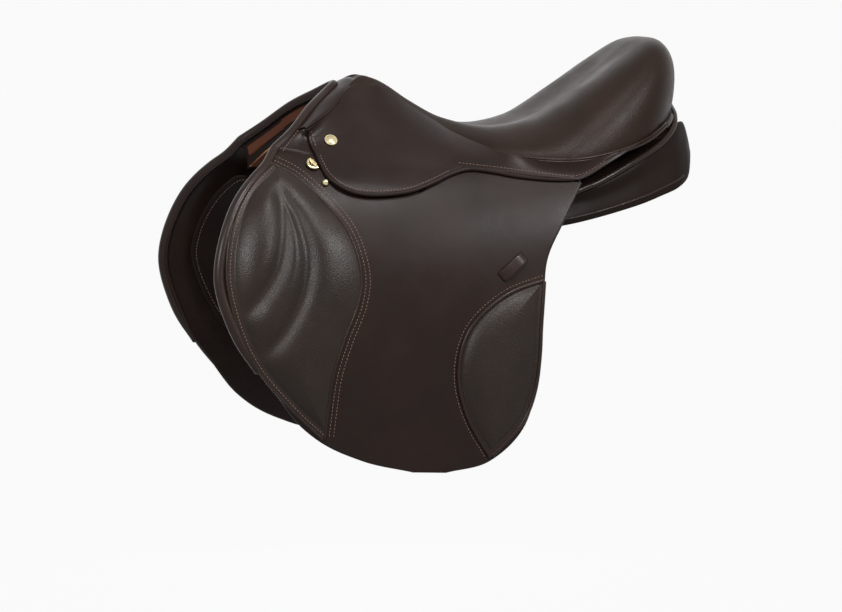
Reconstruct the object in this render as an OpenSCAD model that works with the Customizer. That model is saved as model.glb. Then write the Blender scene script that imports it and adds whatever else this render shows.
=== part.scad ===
// Jumping saddle: spring tree, close-contact seat, forward-cut flaps that lift, skirts, panels, girth straps.
// Frame: -X is the front, +Y the right side, +Z up. The origin lies under the seat's deepest point, on the
// centre plane, at the height where the panels bear on the horse's back.

/* [Seat] */
// Seat's deepest point forward to the top of the pommel
pommel_reach = 156; // [148:1:164]
// Height of the pommel's top
pommel_z = 144; // [138:1:150]
// Height of the seat's deepest point
seat_low_z = 81; // [79:1:88]
// Seat's deepest point back to the foot of the cantle
cantle_reach = 238; // [228:1:248]
// Height of the cantle's rim
cantle_z = 189; // [180:1:198]
// How far the cantle leans back for each unit of height
cantle_lean = 0.24; // [0.15:0.01:0.3]
// Half width of the seat where it is widest
seat_half_w = 137; // [131:1:142]
// Half width of the narrow front of the seat
twist_half_w = 31; // [29:1:34]
// Rise of the dish from the middle of the seat towards its sides
seat_dish = 6; // [4:0.5:8]
// Thickness of the seat leather
seat_leather = 2.5; // [2:0.1:3]
// Thickness of the seat foam
foam_t = 14; // [11:1:16]
// Thickness of the seat webbing
web_t = 1.2; // [1:0.1:1.6]
// Radius of the welt between the seat and the skirts
welt_r = 1.9; // [1.5:0.1:2.2]

/* [Tree] */
// Thickness of the wooden rim and side bars
tree_t = 9; // [7:0.5:11]
// Width of the head arch, along the saddle
head_w = 22; // [18:1:26]
// Thickness of the head arch
head_t = 10; // [8:0.5:12]
// Thickness of the steel head and gullet plates
plate_t = 2; // [1.5:0.1:2.5]
// Thickness of the two spring steels
spring_t = 1.8; // [1.4:0.1:2.2]
// Depth of the side bars below the hinge line
tree_skirt = 32; // [28:1:34]

/* [Flaps] */
// Front end of the line along which a flap bends, ahead of the seat's deepest point
hinge_front_x = 229; // [224:1:234]
// Half width at the front end of the bending line
hinge_front_y = 92; // [88:1:96]
// Height of the front end of the bending line
hinge_front_z = 60; // [56:1:63]
// Rear end of the bending line, behind the seat's deepest point
hinge_rear_x = 90; // [85:1:95]
// Half width at the rear end of the bending line
hinge_rear_y = 140; // [136:1:143]
// Height of the rear end of the bending line
hinge_rear_z = 23; // [20:1:26]
// Half width of the saddle low on the flaps
barrel_half_w = 178; // [172:1:184]
// Foremost reach of the flap's rolled edge
flap_reach = 358; // [350:1:366]
// Depth of the flap's lowest point below the bearing level
flap_drop = 312; // [300:2:324]
// Thickness of the flap leather
flap_t = 4.5; // [4:0.1:5]
// Radius of the roll along the flap's front edge
roll_r = 6.5; // [5.5:0.1:7]
// Radius of the roll over the pommel
pommel_roll_r = 5; // [4.4:0.1:5.2]
// Radius of the facing between the pommel's roll and the skirts
facing_r = 3.6; // [3:0.1:3.8]
// Height of the knee pad's crown above its border
knee_h = 13; // [9:0.5:16]
// Depth of the two channels between the knee pad's lobes
channel_d = 6; // [3:0.5:8]
// Half width of those channels
channel_half_w = 8; // [6:0.5:10]
// Height of the rear pad's crown above its border
calf_h = 8; // [5:0.5:10]

/* [Skirts] */
// Thickness of the skirt leather
skirt_t = 3.5; // [3:0.1:4]
// Front corner of the skirt, ahead of the seat's deepest point
corner_reach = 233; // [229:1:236]
// Depth of the skirt's lobe below the bending line at its deepest
lobe_drop = 45; // [38:1:52]
// Radius of the saddle nail's head
nail_r = 7.5; // [6:0.5:9]

/* [Stirrup bars] */
// Length of the bar that carries the stirrup leather
bar_len = 58; // [50:1:62]
// Height of the bar
bar_h = 10; // [8:0.5:11]
// Thickness of the bar
bar_t = 4.2; // [4:0.1:5]
// Gap for the leather between the bar and its plate
bar_gap = 7.6; // [7:0.1:9]
// Length of the hinged catch behind the bar
catch_len = 16; // [12:1:18]
// Radius of the catch's pin
pin_r = 1.5; // [1.2:0.1:1.7]

/* [Girth straps] */
// Width of a girth strap
strap_w = 26; // [22:1:28]
// Thickness of a girth strap
strap_t = 4; // [3:0.1:4.4]
// Distance between neighbouring straps
strap_pitch = 46; // [42:1:48]
// Depth of the straps' lower ends below the bearing level
strap_drop = 240; // [226:2:250]
// Radius of a buckle hole
hole_r = 2.5; // [2:0.1:3]
// Distance between buckle holes
hole_pitch = 25; // [20:1:30]

/* [Panels] */
// Half width of the channel between the two panels
gullet_half_w = 34; // [30:1:38]
// Rear end of the panels
panel_rear = 243; // [232:1:252]
// Thickness of the sweat flap leather
sweat_t = 3.5; // [3:0.1:4]

/* [Dees] */
// Radius of the dee's wire
dee_wire_r = 1.75; // [1.5:0.05:2]
// Length of the dee's straight bar between its bends
dee_len = 14; // [13:0.5:16]

/* [Hidden] */
$fn = 48;
// Gap between faces that lie on each other
seat_gap = 0.3;
// Running clearance of a pin in its hole
run_gap = 0.15;
// Leathers above the flap's outer face, which is lift zero on the saddle's side surface
skirt_in = 0.5;
skirt_out = skirt_in + skirt_t;
hinge_lift = skirt_in + skirt_t / 2;
// Gap between the fixed skirt and the bending line, which leaves room for the lobe to fold up
fold_gap = 4.4;
lobe_gap = 0.5;
flap_gap = 0.1;
// Lifts of the stirrup bar and of what lies under it
bar_out = -2.3;
bar_plate_t = 2.5;
bar_in = bar_out - bar_t;
bar_plate_out = bar_in - bar_gap;
tree_out = bar_plate_out - bar_plate_t - 1.3;
tree_in = tree_out - tree_t;
// Lifts of the girth web and straps
girth_web_in = tree_out + 2.5 * seat_gap;
girth_web_out = girth_web_in + 2;
strap_in = girth_web_out + 0.8;
strap_out = strap_in + strap_t;
sweat_out = strap_in - 4.2;
// Insets of the layers under the seat's surface
foam_out = seat_leather + seat_gap;
foam_in = foam_out + foam_t;
web_long_out = foam_in + seat_gap;
web_cross_out = web_long_out + web_t + seat_gap;
rim_out = web_cross_out + web_t + 5 * seat_gap;
rim_in = rim_out + tree_t;
spring_out = rim_in + seat_gap;
// Places along the saddle
bar_x = -148;
bar_depth = 14;
strap_mid_x = -46;
strap_top = 16;
strap_pivot = 22;
// Distance over which the side surface turns from the skirt's slope to the upright flap
barrel_fall = 75;
barrel_bow = 0.00012;
barrel_mid_x = -60;

leather = [0.22, 0.17, 0.15];
grain_leather = [0.30, 0.25, 0.22];
panel_leather = [0.16, 0.13, 0.12];
tan_leather = [0.36, 0.24, 0.19];
brass = [0.78, 0.62, 0.30];
steel = [0.62, 0.63, 0.64];
beech = [0.72, 0.55, 0.36];
webbing = [0.80, 0.77, 0.68];
foam = [0.86, 0.80, 0.62];

// Curves and surfaces

function lerp(a, b, t) = a + (b - a) * t;
function clamp(x, lo, hi) = min(hi, max(lo, x));
function smooth(t) = let (c = clamp(t, 0, 1)) c * c * (3 - 2 * c);
function unit(v) = v / norm(v);
function hermite(p, q, a, b, f) =
    p * (2 * f * f * f - 3 * f * f + 1) + a * (f * f * f - 2 * f * f + f)
    + q * (3 * f * f - 2 * f * f * f) + b * (f * f * f - f * f);

// Point on a smooth curve through pts, t from 0 to 1
function curve(pts, t) =
    let (n = len(pts) - 1, s = clamp(t, 0, 1) * n, i = min(floor(s), n - 1), f = s - i,
        a = (pts[i + 1] - pts[max(i - 1, 0)]) / (i > 0 ? 2 : 1),
        b = (pts[min(i + 2, n)] - pts[i]) / (i < n - 1 ? 2 : 1))
    hermite(pts[i], pts[i + 1], a, b, f);

// Point on a smooth closed loop through pts, t from 0 to 1
function loop(pts, t) =
    let (n = len(pts), s = t * n, i = floor(s) % n, f = s - floor(s),
        a = (pts[(i + 1) % n] - pts[(i + n - 1) % n]) / 2,
        b = (pts[(i + 2) % n] - pts[i]) / 2)
    hermite(pts[i], pts[(i + 1) % n], a, b, f);

// Value at x of a smooth line through rows of [x, value ...]
function rise(pts, i) =
    let (n = len(pts) - 1, j = max(i - 1, 0), k = min(i + 1, n)) (pts[k] - pts[j]) / (pts[k][0] - pts[j][0]);
function at(pts, x) =
    let (n = len(pts) - 1, c = clamp(x, pts[0][0], pts[n][0]),
        i = min(n - 1, max([for (k = [0 : n - 1]) pts[k][0] <= c ? k : 0])),
        d = pts[i + 1][0] - pts[i][0], f = (c - pts[i][0]) / d)
    hermite(pts[i], pts[i + 1], rise(pts, i) * d, rise(pts, i + 1) * d, f);

// Seam between the seat and the skirt on the right side, from the skirt's front corner to the cantle's foot
corner_z = hinge_front_z + 27;
seam = [
    [-corner_reach, hinge_front_y - 6, corner_z + 1],
    [-pommel_reach - 37, twist_half_w + 27, pommel_z - 35],
    [-pommel_reach - 11, twist_half_w + 3, pommel_z - 13],
    [-pommel_reach + 19, twist_half_w, pommel_z - 11],
    [-pommel_reach + 41, twist_half_w, pommel_z - 21],
    [-pommel_reach + 64, twist_half_w + 5, pommel_z - 37],
    [-pommel_reach + 86, twist_half_w + 15, pommel_z - 52],
    [-pommel_reach + 106, twist_half_w + 31, pommel_z - 66],
    [-20, lerp(twist_half_w, seat_half_w, 0.54), seat_low_z - 18],
    [9, lerp(twist_half_w, seat_half_w, 0.77), seat_low_z - 28],
    [64, seat_half_w - 1, seat_low_z - 33],
    [113, seat_half_w, seat_low_z - 29],
    [cantle_reach - 70, seat_half_w - 13, cantle_z - 123],
    [cantle_reach - 33, seat_half_w - 39, cantle_z - 105]];
function seam_y(x) = at(seam, x)[1];
function seam_z(x) = at(seam, x)[2];

// The side surface on the right: the bending line, the skirt's slope above it and the flap's fall below it
function hinge_share(x) = (x + hinge_front_x) / (hinge_rear_x + hinge_front_x);
function hinge_y(x) = lerp(hinge_front_y, hinge_rear_y, hinge_share(x));
function hinge_z(x) = lerp(hinge_front_z, hinge_rear_z, hinge_share(x));
function barrel_y(x) = barrel_half_w - barrel_bow * pow(x - barrel_mid_x, 2);
function skin_y(x, z) =
    let (t = hinge_z(x) - z, y0 = hinge_y(x), k = (barrel_y(x) - y0) / barrel_fall)
    t >= 0 ? y0 + k * barrel_fall * (1 - exp(-t / barrel_fall))
    : let (h = seam_z(x) - hinge_z(x), c = (seam_y(x) - y0 + k * h) / (h * h)) y0 + k * t + c * t * t;
function skin_normal(x, z) =
    let (e = 0.5)
    unit([skin_y(x - e, z) - skin_y(x + e, z), 2 * e, skin_y(x, z - e) - skin_y(x, z + e)]);
function on_skin(x, z, lift) = [x, skin_y(x, z), z] + lift * skin_normal(x, z);
// Angle of the side surface's normal above the horizontal
function skin_tilt(x, z) = let (n = skin_normal(x, z)) atan2(n[2], n[1]);

// The seat's surface, in rings from its edge inwards
seat_front = [[-pommel_reach + 2.2, 0, pommel_z - 2], [-pommel_reach - 4, twist_half_w * 0.7, pommel_z - 6]];
seat_side = concat(seat_front, [for (i = [2 : len(seam) - 1]) seam[i] - [0, welt_r + 0.7, 0]],
    [[cantle_reach - 6, seat_half_w - 86, cantle_z - 100], [cantle_reach, 0, cantle_z - 100]]);
seat_edge = concat(seat_side, [for (i = [len(seat_side) - 2 : -1 : 1])
    [seat_side[i][0], -seat_side[i][1], seat_side[i][2]]]);
seat_line = [
    [-pommel_reach - 10, pommel_z - 2], [-pommel_reach, pommel_z], [-pommel_reach + 34, pommel_z - 11],
    [-pommel_reach + 69, pommel_z - 34], [-pommel_reach + 104, lerp(seat_low_z, pommel_z, 0.16)],
    [0, seat_low_z], [54, seat_low_z + 9], [cantle_reach - 150, lerp(seat_low_z, cantle_z, 0.24)],
    [cantle_reach - 116, lerp(seat_low_z, cantle_z, 0.46)],
    [cantle_reach - 88, lerp(seat_low_z, cantle_z, 0.69)],
    [cantle_reach - 63, lerp(seat_low_z, cantle_z, 0.9)],
    [cantle_reach - 45, cantle_z - 4.5], [cantle_reach - 28, cantle_z - 5], [cantle_reach, cantle_z - 9]];
seat_spine_front = -pommel_reach + 36;
seat_spine_rear = cantle_reach - 108;
function dome(r, x) =
    let (s = smooth((x - 40) / (cantle_reach - 60)))
    pow(max(0, 1 - pow(r, lerp(3.2, 6.5, s))), lerp(0.58, 0.45, s));
function lean(p, foot) =
    [p[0] + cantle_lean * (p[2] - foot) * smooth((p[0] - cantle_reach + 148) / 100), p[1], p[2]];
function seat_pt(edge, r, inset) =
    let (k = [clamp(edge[0], seat_spine_front, seat_spine_rear), 0],
        out = [edge[0], edge[1]] - k,
        p = k + out * (1 - inset / max(norm(out), 1)) * r,
        top = at(seat_line, p[0])[1] + seat_dish * (1 - cos(360 * r)) / 2 - inset,
        z = edge[2] + (top - edge[2]) * dome(r, edge[0]))
    lean([p[0], p[1], z], edge[2]);
seat_rings = [1, 0.985, 0.95, 0.87, 0.72, 0.48, 0.18];
function seat_ring(r, inset, n) = [for (i = [0 : n - 1]) seat_pt(loop(seat_edge, i / n), r, inset)];
// Seat surface at a place between the spine's ends, by its distance from the centre plane
function seat_at(x, r, inset) = seat_pt([x, seam_y(x) - welt_r - 0.7, seam_z(x)], r, inset);

// Solids

// Closed solid between an outer and an inner grid of points
module slab(outer, inner) {
    n = len(outer);
    m = len(outer[0]);
    pts = concat([for (row = outer) each row], [for (row = inner) each row]);
    function a(i, j) = i * m + j;
    function b(i, j) = n * m + i * m + j;
    faces = concat(
        [for (i = [0 : n - 2], j = [0 : m - 2]) each
            [[a(i, j), a(i + 1, j), a(i + 1, j + 1)], [a(i, j), a(i + 1, j + 1), a(i, j + 1)]]],
        [for (i = [0 : n - 2], j = [0 : m - 2]) each
            [[b(i, j), b(i + 1, j + 1), b(i + 1, j)], [b(i, j), b(i, j + 1), b(i + 1, j + 1)]]],
        [for (i = [0 : n - 2]) each
            [[a(i, 0), b(i, 0), b(i + 1, 0)], [a(i, 0), b(i + 1, 0), a(i + 1, 0)],
             [a(i, m - 1), a(i + 1, m - 1), b(i + 1, m - 1)], [a(i, m - 1), b(i + 1, m - 1), b(i, m - 1)]]],
        [for (j = [0 : m - 2]) each
            [[a(0, j), a(0, j + 1), b(0, j + 1)], [a(0, j), b(0, j + 1), b(0, j)],
             [a(n - 1, j), b(n - 1, j), b(n - 1, j + 1)], [a(n - 1, j), b(n - 1, j + 1), a(n - 1, j + 1)]]]);
    polyhedron(pts, faces);
}

// Closed solid through rings of points, with its two ends capped or joined to each other
module loft(rings, closed = false) {
    n = len(rings);
    m = len(rings[0]);
    weights = [for (j = [1 : m]) 1 / m];
    pts = concat([for (ring = rings) each ring], [weights * rings[0], weights * rings[n - 1]]);
    walls = [for (i = [0 : closed ? n - 1 : n - 2], j = [0 : m - 1])
        let (k = (j + 1) % m, near = i * m, far = (i + 1) % n * m)
        each [[near + j, far + j, far + k], [near + j, far + k, near + k]]];
    caps = closed ? [] : [for (j = [0 : m - 1]) each
        [[n * m, j, (j + 1) % m], [n * m + 1, (n - 1) * m + (j + 1) % m, (n - 1) * m + j]]];
    polyhedron(pts, concat(walls, caps));
}

module side(s) {
    if (s < 0) mirror([0, 1, 0]) children();
    else children();
}

// Round tube along a path, its rings square to the path
function tube_rings(path, r, n = 12, up = [0, 0, 1]) =
    [for (i = [0 : len(path) - 1])
        let (t = unit(path[min(i + 1, len(path) - 1)] - path[max(i - 1, 0)]),
            a = unit(cross(up, t)), b = cross(t, a))
        [for (k = [0 : n - 1]) path[i] + r * (cos(360 * k / n) * a + sin(360 * k / n) * b)]];

// Sheet on the right side surface between two lifts; rows of [x, z] run down, each from front to rear
module sheet(rows, low, high) {
    slab([for (row = rows) [for (p = row) on_skin(p[0], p[1], high)]],
        [for (row = rows) [for (p = row) on_skin(p[0], p[1], low)]]);
}

// Places a shape on the right side surface: its y points outwards and its z up the slope
module on_side(x, z) {
    translate(on_skin(x, z, 0)) rotate([skin_tilt(x, z), 0, 0]) children();
}

function steps(a, b, n) = [for (i = [0 : n]) lerp(a, b, i / n)];

// Tree

// Layers under the seat share its rings and its spots along the edge, two to each point of the edge
edge_spots = 2 * len(seat_edge);
function layer(rings, from, to, inset) =
    [for (r = rings) [for (i = [from : to]) seat_pt(loop(seat_edge, i / edge_spots), r, inset)]];
rim_rings = [0.48, 0.72, 0.87, 0.95, 0.985];
rim_front = 14;
module tree_rim() {
    last = edge_spots - rim_front;
    color(beech) slab(layer(rim_rings, rim_front, last, rim_out), layer(rim_rings, rim_front, last, rim_in));
}

// The head arch from point to point, in the plane that its legs lean in
head_path = [[-248, 90, 36], [-226, 69, 60], [-197, 42, 87], [-176, 19, 102], [-169, 0, 106]];
function head_at(t) = t < 0.5 ? curve(head_path, 2 * t)
    : let (p = curve(head_path, 2 - 2 * t)) [p[0], -p[1], p[2]];
module arch(low, high, width, from, to, n) {
    e = 0.01;
    rings = [for (t = steps(from, to, n))
        let (p = head_at(t), d = head_at(min(t + e, 1)) - head_at(max(t - e, 0)), up = unit([0, d[2], -d[1]]))
        [p + up * low - [width / 2, 0, 0], p + up * low + [width / 2, 0, 0],
         p + up * high + [width / 2, 0, 0], p + up * high - [width / 2, 0, 0]]];
    loft(rings);
}

module tree_head() {
    color(beech) arch(-head_t / 2, head_t / 2, head_w, 0, 1, 24);
}

// The side bars run from the head's rear face to under the rim, on the skirt's slope and below it
bar_front = -226;
bar_lap = 3;
bar_slant = 22;
bar_rear = 60;
function head_rear(p) =
    let (ts = steps(0, 0.5, 60), far = [for (t = ts) let (h = head_at(t)) norm([p[1] - h[1], p[2] - h[2]])],
        near = [for (i = [0 : 60]) if (far[i] == min(far)) ts[i]])
    head_at(near[0])[0] + head_w / 2 + bar_lap;
module tree_bar(s) {
    function slope(x, share, lift) = on_skin(x, share >= 0 ? lerp(hinge_z(x), seam_z(x), share)
        : hinge_z(x) + tree_skirt * share, lift);
    function front(share, lift) = max(bar_front, bar_slant * max(share, 0)
        + head_rear(slope(head_rear(slope(bar_front, share, lift)), share, lift)));
    function under_rim(x, inset) = seat_at(x, rim_rings[len(rim_rings) - 1], inset) - [0, 0, 3 * seat_gap];
    function top(x, lift, inset) = lerp(slope(x, 0.9, lift), under_rim(x, inset), smooth((x + 62) / 30));
    function rows(lift, inset) = concat(
        [[for (x = steps(front(0.9, lift), bar_rear, 18)) top(x, lift, inset)]],
        [for (share = [0.6, 0, -0.5, -1])
            [for (x = steps(front(share, lift), bar_rear, 18)) slope(x, share, lift)]]);
    color(beech) side(s) slab(rows(tree_out, rim_out), rows(tree_in, rim_in));
}

module head_plate() {
    color(steel) arch(head_t / 2 + seat_gap, head_t / 2 + seat_gap + plate_t, head_w - 4, 0.08, 0.92, 20);
}

plate_end = 0.27;
module gullet_plate() {
    top = -head_t / 2 - seat_gap;
    color(steel) arch(top - plate_t, top, head_w, plate_end, 1 - plate_end, 12);
}

pocket_t = 2.5;
module point_pocket(s) {
    top = -head_t / 2 - seat_gap;
    color(tan_leather) side(s) arch(top - pocket_t, top, head_w + 4, 0.01, plate_end - 0.02, 8);
}

rivet_r = 3;
rivet_h = 1.6;
rivet_spots = [0.16, 0.33, 0.67, 0.84];
module tree_rivets() {
    color(brass) for (t = rivet_spots) {
        p = head_at(t);
        d = head_at(t + 0.01) - head_at(t - 0.01);
        tilt = atan2(d[2], d[1]);
        translate(p) rotate([tilt + (d[1] < 0 ? 180 : 0), 0, 0])
            translate([0, 0, head_t / 2 + 2 * seat_gap + plate_t]) cylinder(r = rivet_r, h = rivet_h);
    }
}

spring_rings = [0.48, 0.72];
spring_front = 16;
spring_rear = 25;
module spring(s) {
    color(steel) side(s) slab(layer(spring_rings, spring_front, spring_rear, spring_out),
        layer(spring_rings, spring_front, spring_rear, spring_out + spring_t));
}

// Stirrup bars, each with a plate on the tree, a bar open to the rear and a hinged catch

bar_plate_len = 74;
bar_plate_h = 24;
bar_arm = 8;
fork_len = 11;
tongue_t = 1.6;
slot_t = tongue_t + 0.4;
bar_mid = (bar_out + bar_in) / 2;
bar_tail = bar_len - bar_plate_len / 2;
pin_x = bar_tail - fork_len / 2;
module stirrup_bar(s) {
    color(steel) side(s) on_side(bar_x, hinge_z(bar_x) - bar_depth) difference() {
        union() {
            translate([-bar_plate_len / 2, bar_plate_out - bar_plate_t, -bar_plate_h / 2])
                cube([bar_plate_len, bar_plate_t, bar_plate_h]);
            translate([-bar_plate_len / 2, bar_plate_out - bar_plate_t, -bar_h / 2])
                cube([bar_arm, bar_out - bar_plate_out + bar_plate_t, bar_h]);
            translate([-bar_plate_len / 2, bar_in, -bar_h / 2]) cube([bar_len, bar_t, bar_h]);
        }
        translate([bar_tail - fork_len, bar_mid - slot_t / 2, -bar_h]) cube([fork_len + 1, slot_t, 2 * bar_h]);
        translate([pin_x, bar_in - 1, 0]) rotate([-90, 0, 0]) cylinder(r = pin_r, h = bar_t + 2);
    }
}

module catch_pins() {
    color(steel) for (s = [-1, 1]) side(s) on_side(bar_x, hinge_z(bar_x) - bar_depth)
        translate([pin_x, bar_in, 0]) rotate([-90, 0, 0]) cylinder(r = pin_r, h = bar_t);
}

catch_r = 4.2;
module bar_catch(s) {
    color(steel) side(s) on_side(bar_x, hinge_z(bar_x) - bar_depth) difference() {
        translate([pin_x, bar_mid - tongue_t / 2, 0]) {
            rotate([-90, 0, 0]) cylinder(r = catch_r, h = tongue_t);
            translate([0, 0, -catch_r]) cube([fork_len / 2 + catch_len, tongue_t, 2 * catch_r]);
        }
        translate([pin_x, bar_in, 0]) rotate([-90, 0, 0]) cylinder(r = pin_r + run_gap, h = bar_t);
    }
}

// Seat

// Strips of webbing across the centre plane, over rings on both sides
module web_strip(rings, from, to, inset) {
    n = len(rings);
    function row(i, d) =
        let (right = [for (r = rings) seat_pt(loop(seat_edge, i / edge_spots), r, d)])
        concat(right, [for (k = [n - 1 : -1 : 0]) [right[k][0], -right[k][1], right[k][2]]]);
    color(webbing) slab([for (i = [from : to]) row(i, inset)], [for (i = [from : to]) row(i, inset + web_t)]);
}

module seat_web_long() {
    web_strip([0.48, 0.18], 10, 22, web_long_out);
}

module seat_web_cross() {
    for (i = [18, 20]) web_strip([0.87, 0.72, 0.48, 0.18], i, i + 1, web_cross_out);
}

// Closed bowl between two insets of the seat's surface
module seat_bowl(outer, inner) {
    n = edge_spots;
    half = n / 2;
    k = len(seat_rings);
    pts = concat([for (r = seat_rings) each seat_ring(r, outer, n)],
        [for (r = seat_rings) each seat_ring(r, inner, n)]);
    function a(i, j) = i * n + j % n;
    function b(i, j) = (k + i) * n + j % n;
    top = [for (i = [0 : k - 2], j = [0 : n - 1]) each
        [[a(i, j), a(i + 1, j + 1), a(i + 1, j)], [a(i, j), a(i, j + 1), a(i + 1, j + 1)]]];
    under = [for (i = [0 : k - 2], j = [0 : n - 1]) each
        [[b(i, j), b(i + 1, j), b(i + 1, j + 1)], [b(i, j), b(i + 1, j + 1), b(i, j + 1)]]];
    rim = [for (j = [0 : n - 1]) each [[a(0, j), b(0, j + 1), a(0, j + 1)], [a(0, j), b(0, j), b(0, j + 1)]]];
    // Strip that closes the innermost ring along the centre plane
    function strip(p, j) = j == 0 ? [[p, p + 1, p + n - 1]]
        : j == half - 1 ? [[p + j, p + j + 1, p + n - j]]
        : [[p + j, p + j + 1, p + n - j - 1], [p + j, p + n - j - 1, p + n - j]];
    spine = [for (j = [0 : half - 1]) each strip((k - 1) * n, j)];
    spine_under = [for (j = [0 : half - 1]) each [for (f = strip((2 * k - 1) * n, j)) [f[0], f[2], f[1]]]];
    polyhedron(pts, concat(top, under, rim, spine, spine_under));
}

module seat_foam() {
    color(foam) seat_bowl(foam_out, foam_in);
}

module seat_cover() {
    color(grain_leather) seat_bowl(0, seat_leather);
}

// Point outside the seat's edge, in plan
function beside_seat(t, d, dz) =
    let (e = loop(seat_edge, t), spine = clamp(e[0], seat_spine_front, seat_spine_rear))
    e + d * unit([e[0] - spine, e[1], 0]) + [0, 0, dz];

welt_front = 2;
welt_rear = 13;
module seat_welt() {
    spots = steps((welt_front + 0.8) / len(seat_edge), welt_rear / len(seat_edge), 22);
    color(leather) for (s = [-1, 1]) side(s)
        loft(tube_rings([for (t = spots) beside_seat(t, welt_r + 0.4, 1.2)], welt_r, 6));
}

binding_r = 4;
module cantle_binding() {
    start = (welt_rear + 0.15) / len(seat_edge);
    spots = steps(start, 1 - start, 16);
    color(leather) loft(tube_rings([for (t = spots) beside_seat(t, binding_r + 0.4, -1)], binding_r, 8));
}

// Pommel

// A line over the pommel from its right half
function over_pommel(right) =
    concat(right, [for (i = [len(right) - 2 : -1 : 0]) [right[i][0], -right[i][1], right[i][2]]]);
pommel_sides = 8;
function pommel_ring(centre, half, up) =
    [for (k = [0 : pommel_sides - 1])
        let (a = 360 * k / pommel_sides) centre + cos(a) * half + sin(a) * up];

roll_path = [
    [-hinge_front_x - 41, hinge_front_y - 6, hinge_front_z + 5.4], [-245, 71, 84],
    [-pommel_reach - 62, 45, pommel_z - 36], [-pommel_reach - 38, 20, pommel_z - 20],
    [-pommel_reach - 21, 0, pommel_z - 9]];
function roll_at(t) = curve(over_pommel(roll_path), t);
function roll_way(t) = roll_at(t + 0.01) - roll_at(t - 0.01);
function roll_up(t) = let (d = roll_way(t)) unit([0, d[2], -d[1]]);
// Half of the roll's width from front to rear
function roll_half(t) =
    let (d = roll_way(t)) [pommel_roll_r * norm(d) / norm([0, d[1], d[2]]), 0, 0];
module pommel_roll() {
    color(leather) loft([for (t = steps(0.012, 0.988, 24))
        pommel_ring(roll_at(t), roll_half(t), pommel_roll_r * roll_up(t))]);
}

// The facing's rear edge along the skirts and the seat's front, at the points of the roll
facing_rear = [
    [-corner_reach - 13, hinge_front_y - 7, corner_z - 13], [-corner_reach + 2, hinge_front_y - 13, corner_z + 4],
    [-pommel_reach - 36, twist_half_w + 20, pommel_z - 32], [-pommel_reach - 11, twist_half_w - 6, pommel_z - 12],
    [-pommel_reach + 1.8, 0, pommel_z - 2.6]];
module pommel_facing() {
    color(leather) loft([for (t = steps(0.06, 0.94, 24))
        let (a = roll_at(t) + roll_half(t) + [seat_gap, 0, 0], b = curve(over_pommel(facing_rear), t))
        pommel_ring((a + b) / 2, (b - a) / 2, facing_r * roll_up(t))]);
}

// Skirts

// Height of the fixed skirt's lower edge above the bending line
skirt_edge = [[-46, 4.4], [91, 4.4], [100, 8], [115, 19], [134, 31], [152, 42], [171, 54], [196, 69]];
skirt_end = 186;
function skirt_low(x) = hinge_z(x) + max(fold_gap, at(skirt_edge, x)[1]);
module skirt(s) {
    xs = steps(-corner_reach + 9, skirt_end, 34);
    function top(x) = seam_z(x) - welt_r;
    color(leather) side(s)
        sheet([for (f = steps(0, 1, 3)) [for (x = xs) [x, lerp(top(x), min(skirt_low(x), top(x) - 3), f)]]],
            skirt_in, skirt_out);
}

// Depth of the lobe's edge below the bending line, as shares of its greatest depth
lobe_edge = [[0, 0.1], [5, 0.13], [7, 0.34], [10, 0.52], [14, 0.66], [24, 0.86], [36, 0.96],
    [55, 1], [90, 0.91], [107, 0.82], [126, 0.62], [146, 0.42], [163, 0.22], [176, 0.09]];
lobe_front = -corner_reach + 4;
lobe_len = 176;
module skirt_lobe(s) {
    spots = [for (f = steps(0, 1, 22)) lobe_len * (f + 0.6 * f * (f - 1))];
    function low(d) = hinge_z(lobe_front + d) - lobe_drop * at(lobe_edge, d)[1];
    function top(d) = hinge_z(lobe_front + d) - lobe_gap;
    color(leather) side(s)
        sheet([for (f = steps(0, 1, 3)) [for (d = spots) [lobe_front + d, lerp(top(d), low(d), f)]]],
            skirt_in, skirt_out);
}

nail_x = -203;
nail_z = 70.5;
nail_h = 1.4;
nail_dome = 1.8;
module saddle_nails() {
    color(brass) for (s = [-1, 1]) side(s) on_side(nail_x, nail_z)
        translate([0, skirt_out + 3 * seat_gap, 0]) rotate([-90, 0, 0]) {
            cylinder(r = nail_r, h = nail_h);
            translate([0, 0, nail_h]) dome_cap(nail_r * 0.8, nail_dome);
        }
}

// Round cap of a sphere, r across its foot and h tall
module dome_cap(r, h) {
    ball = (r * r + h * h) / (2 * h);
    rotate_extrude() intersection() {
        translate([0, h - ball]) circle(ball);
        square([r, h]);
    }
}

// Flaps

// Outline of the flap with its rolled edge, from the bending line down: front edge, then rear edge
flap_front = [[-hinge_front_x - 48, hinge_front_z + 3], [-flap_reach + 28, 11], [-flap_reach + 1, -56],
    [-flap_reach + 4, -112], [-flap_reach + 41, -190], [-flap_reach + 108, -flap_drop + 50],
    [-flap_reach + 168, -flap_drop + 18], [-128, -flap_drop + 2]];
flap_rear = [[hinge_rear_x, hinge_rear_z - 1], [62, -24], [40, -66], [34, -115], [28, -185],
    [10, -flap_drop + 54], [-34, -flap_drop + 12], [-88, -flap_drop]];
roll_end = 0.6;
// Stretch of a flap's front edge that makes way for the roll
function roll_wide(v) = let (d = curve(flap_front, v + 0.01) - curve(flap_front, v - 0.01))
    roll_r * min(1.3, norm(d) / max(abs(d[1]), 0.01));
function roll_room(v) = (2 * roll_wide(v) + 4 * seat_gap) * (1 - smooth((v - roll_end - 0.02) / 0.1));
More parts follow.
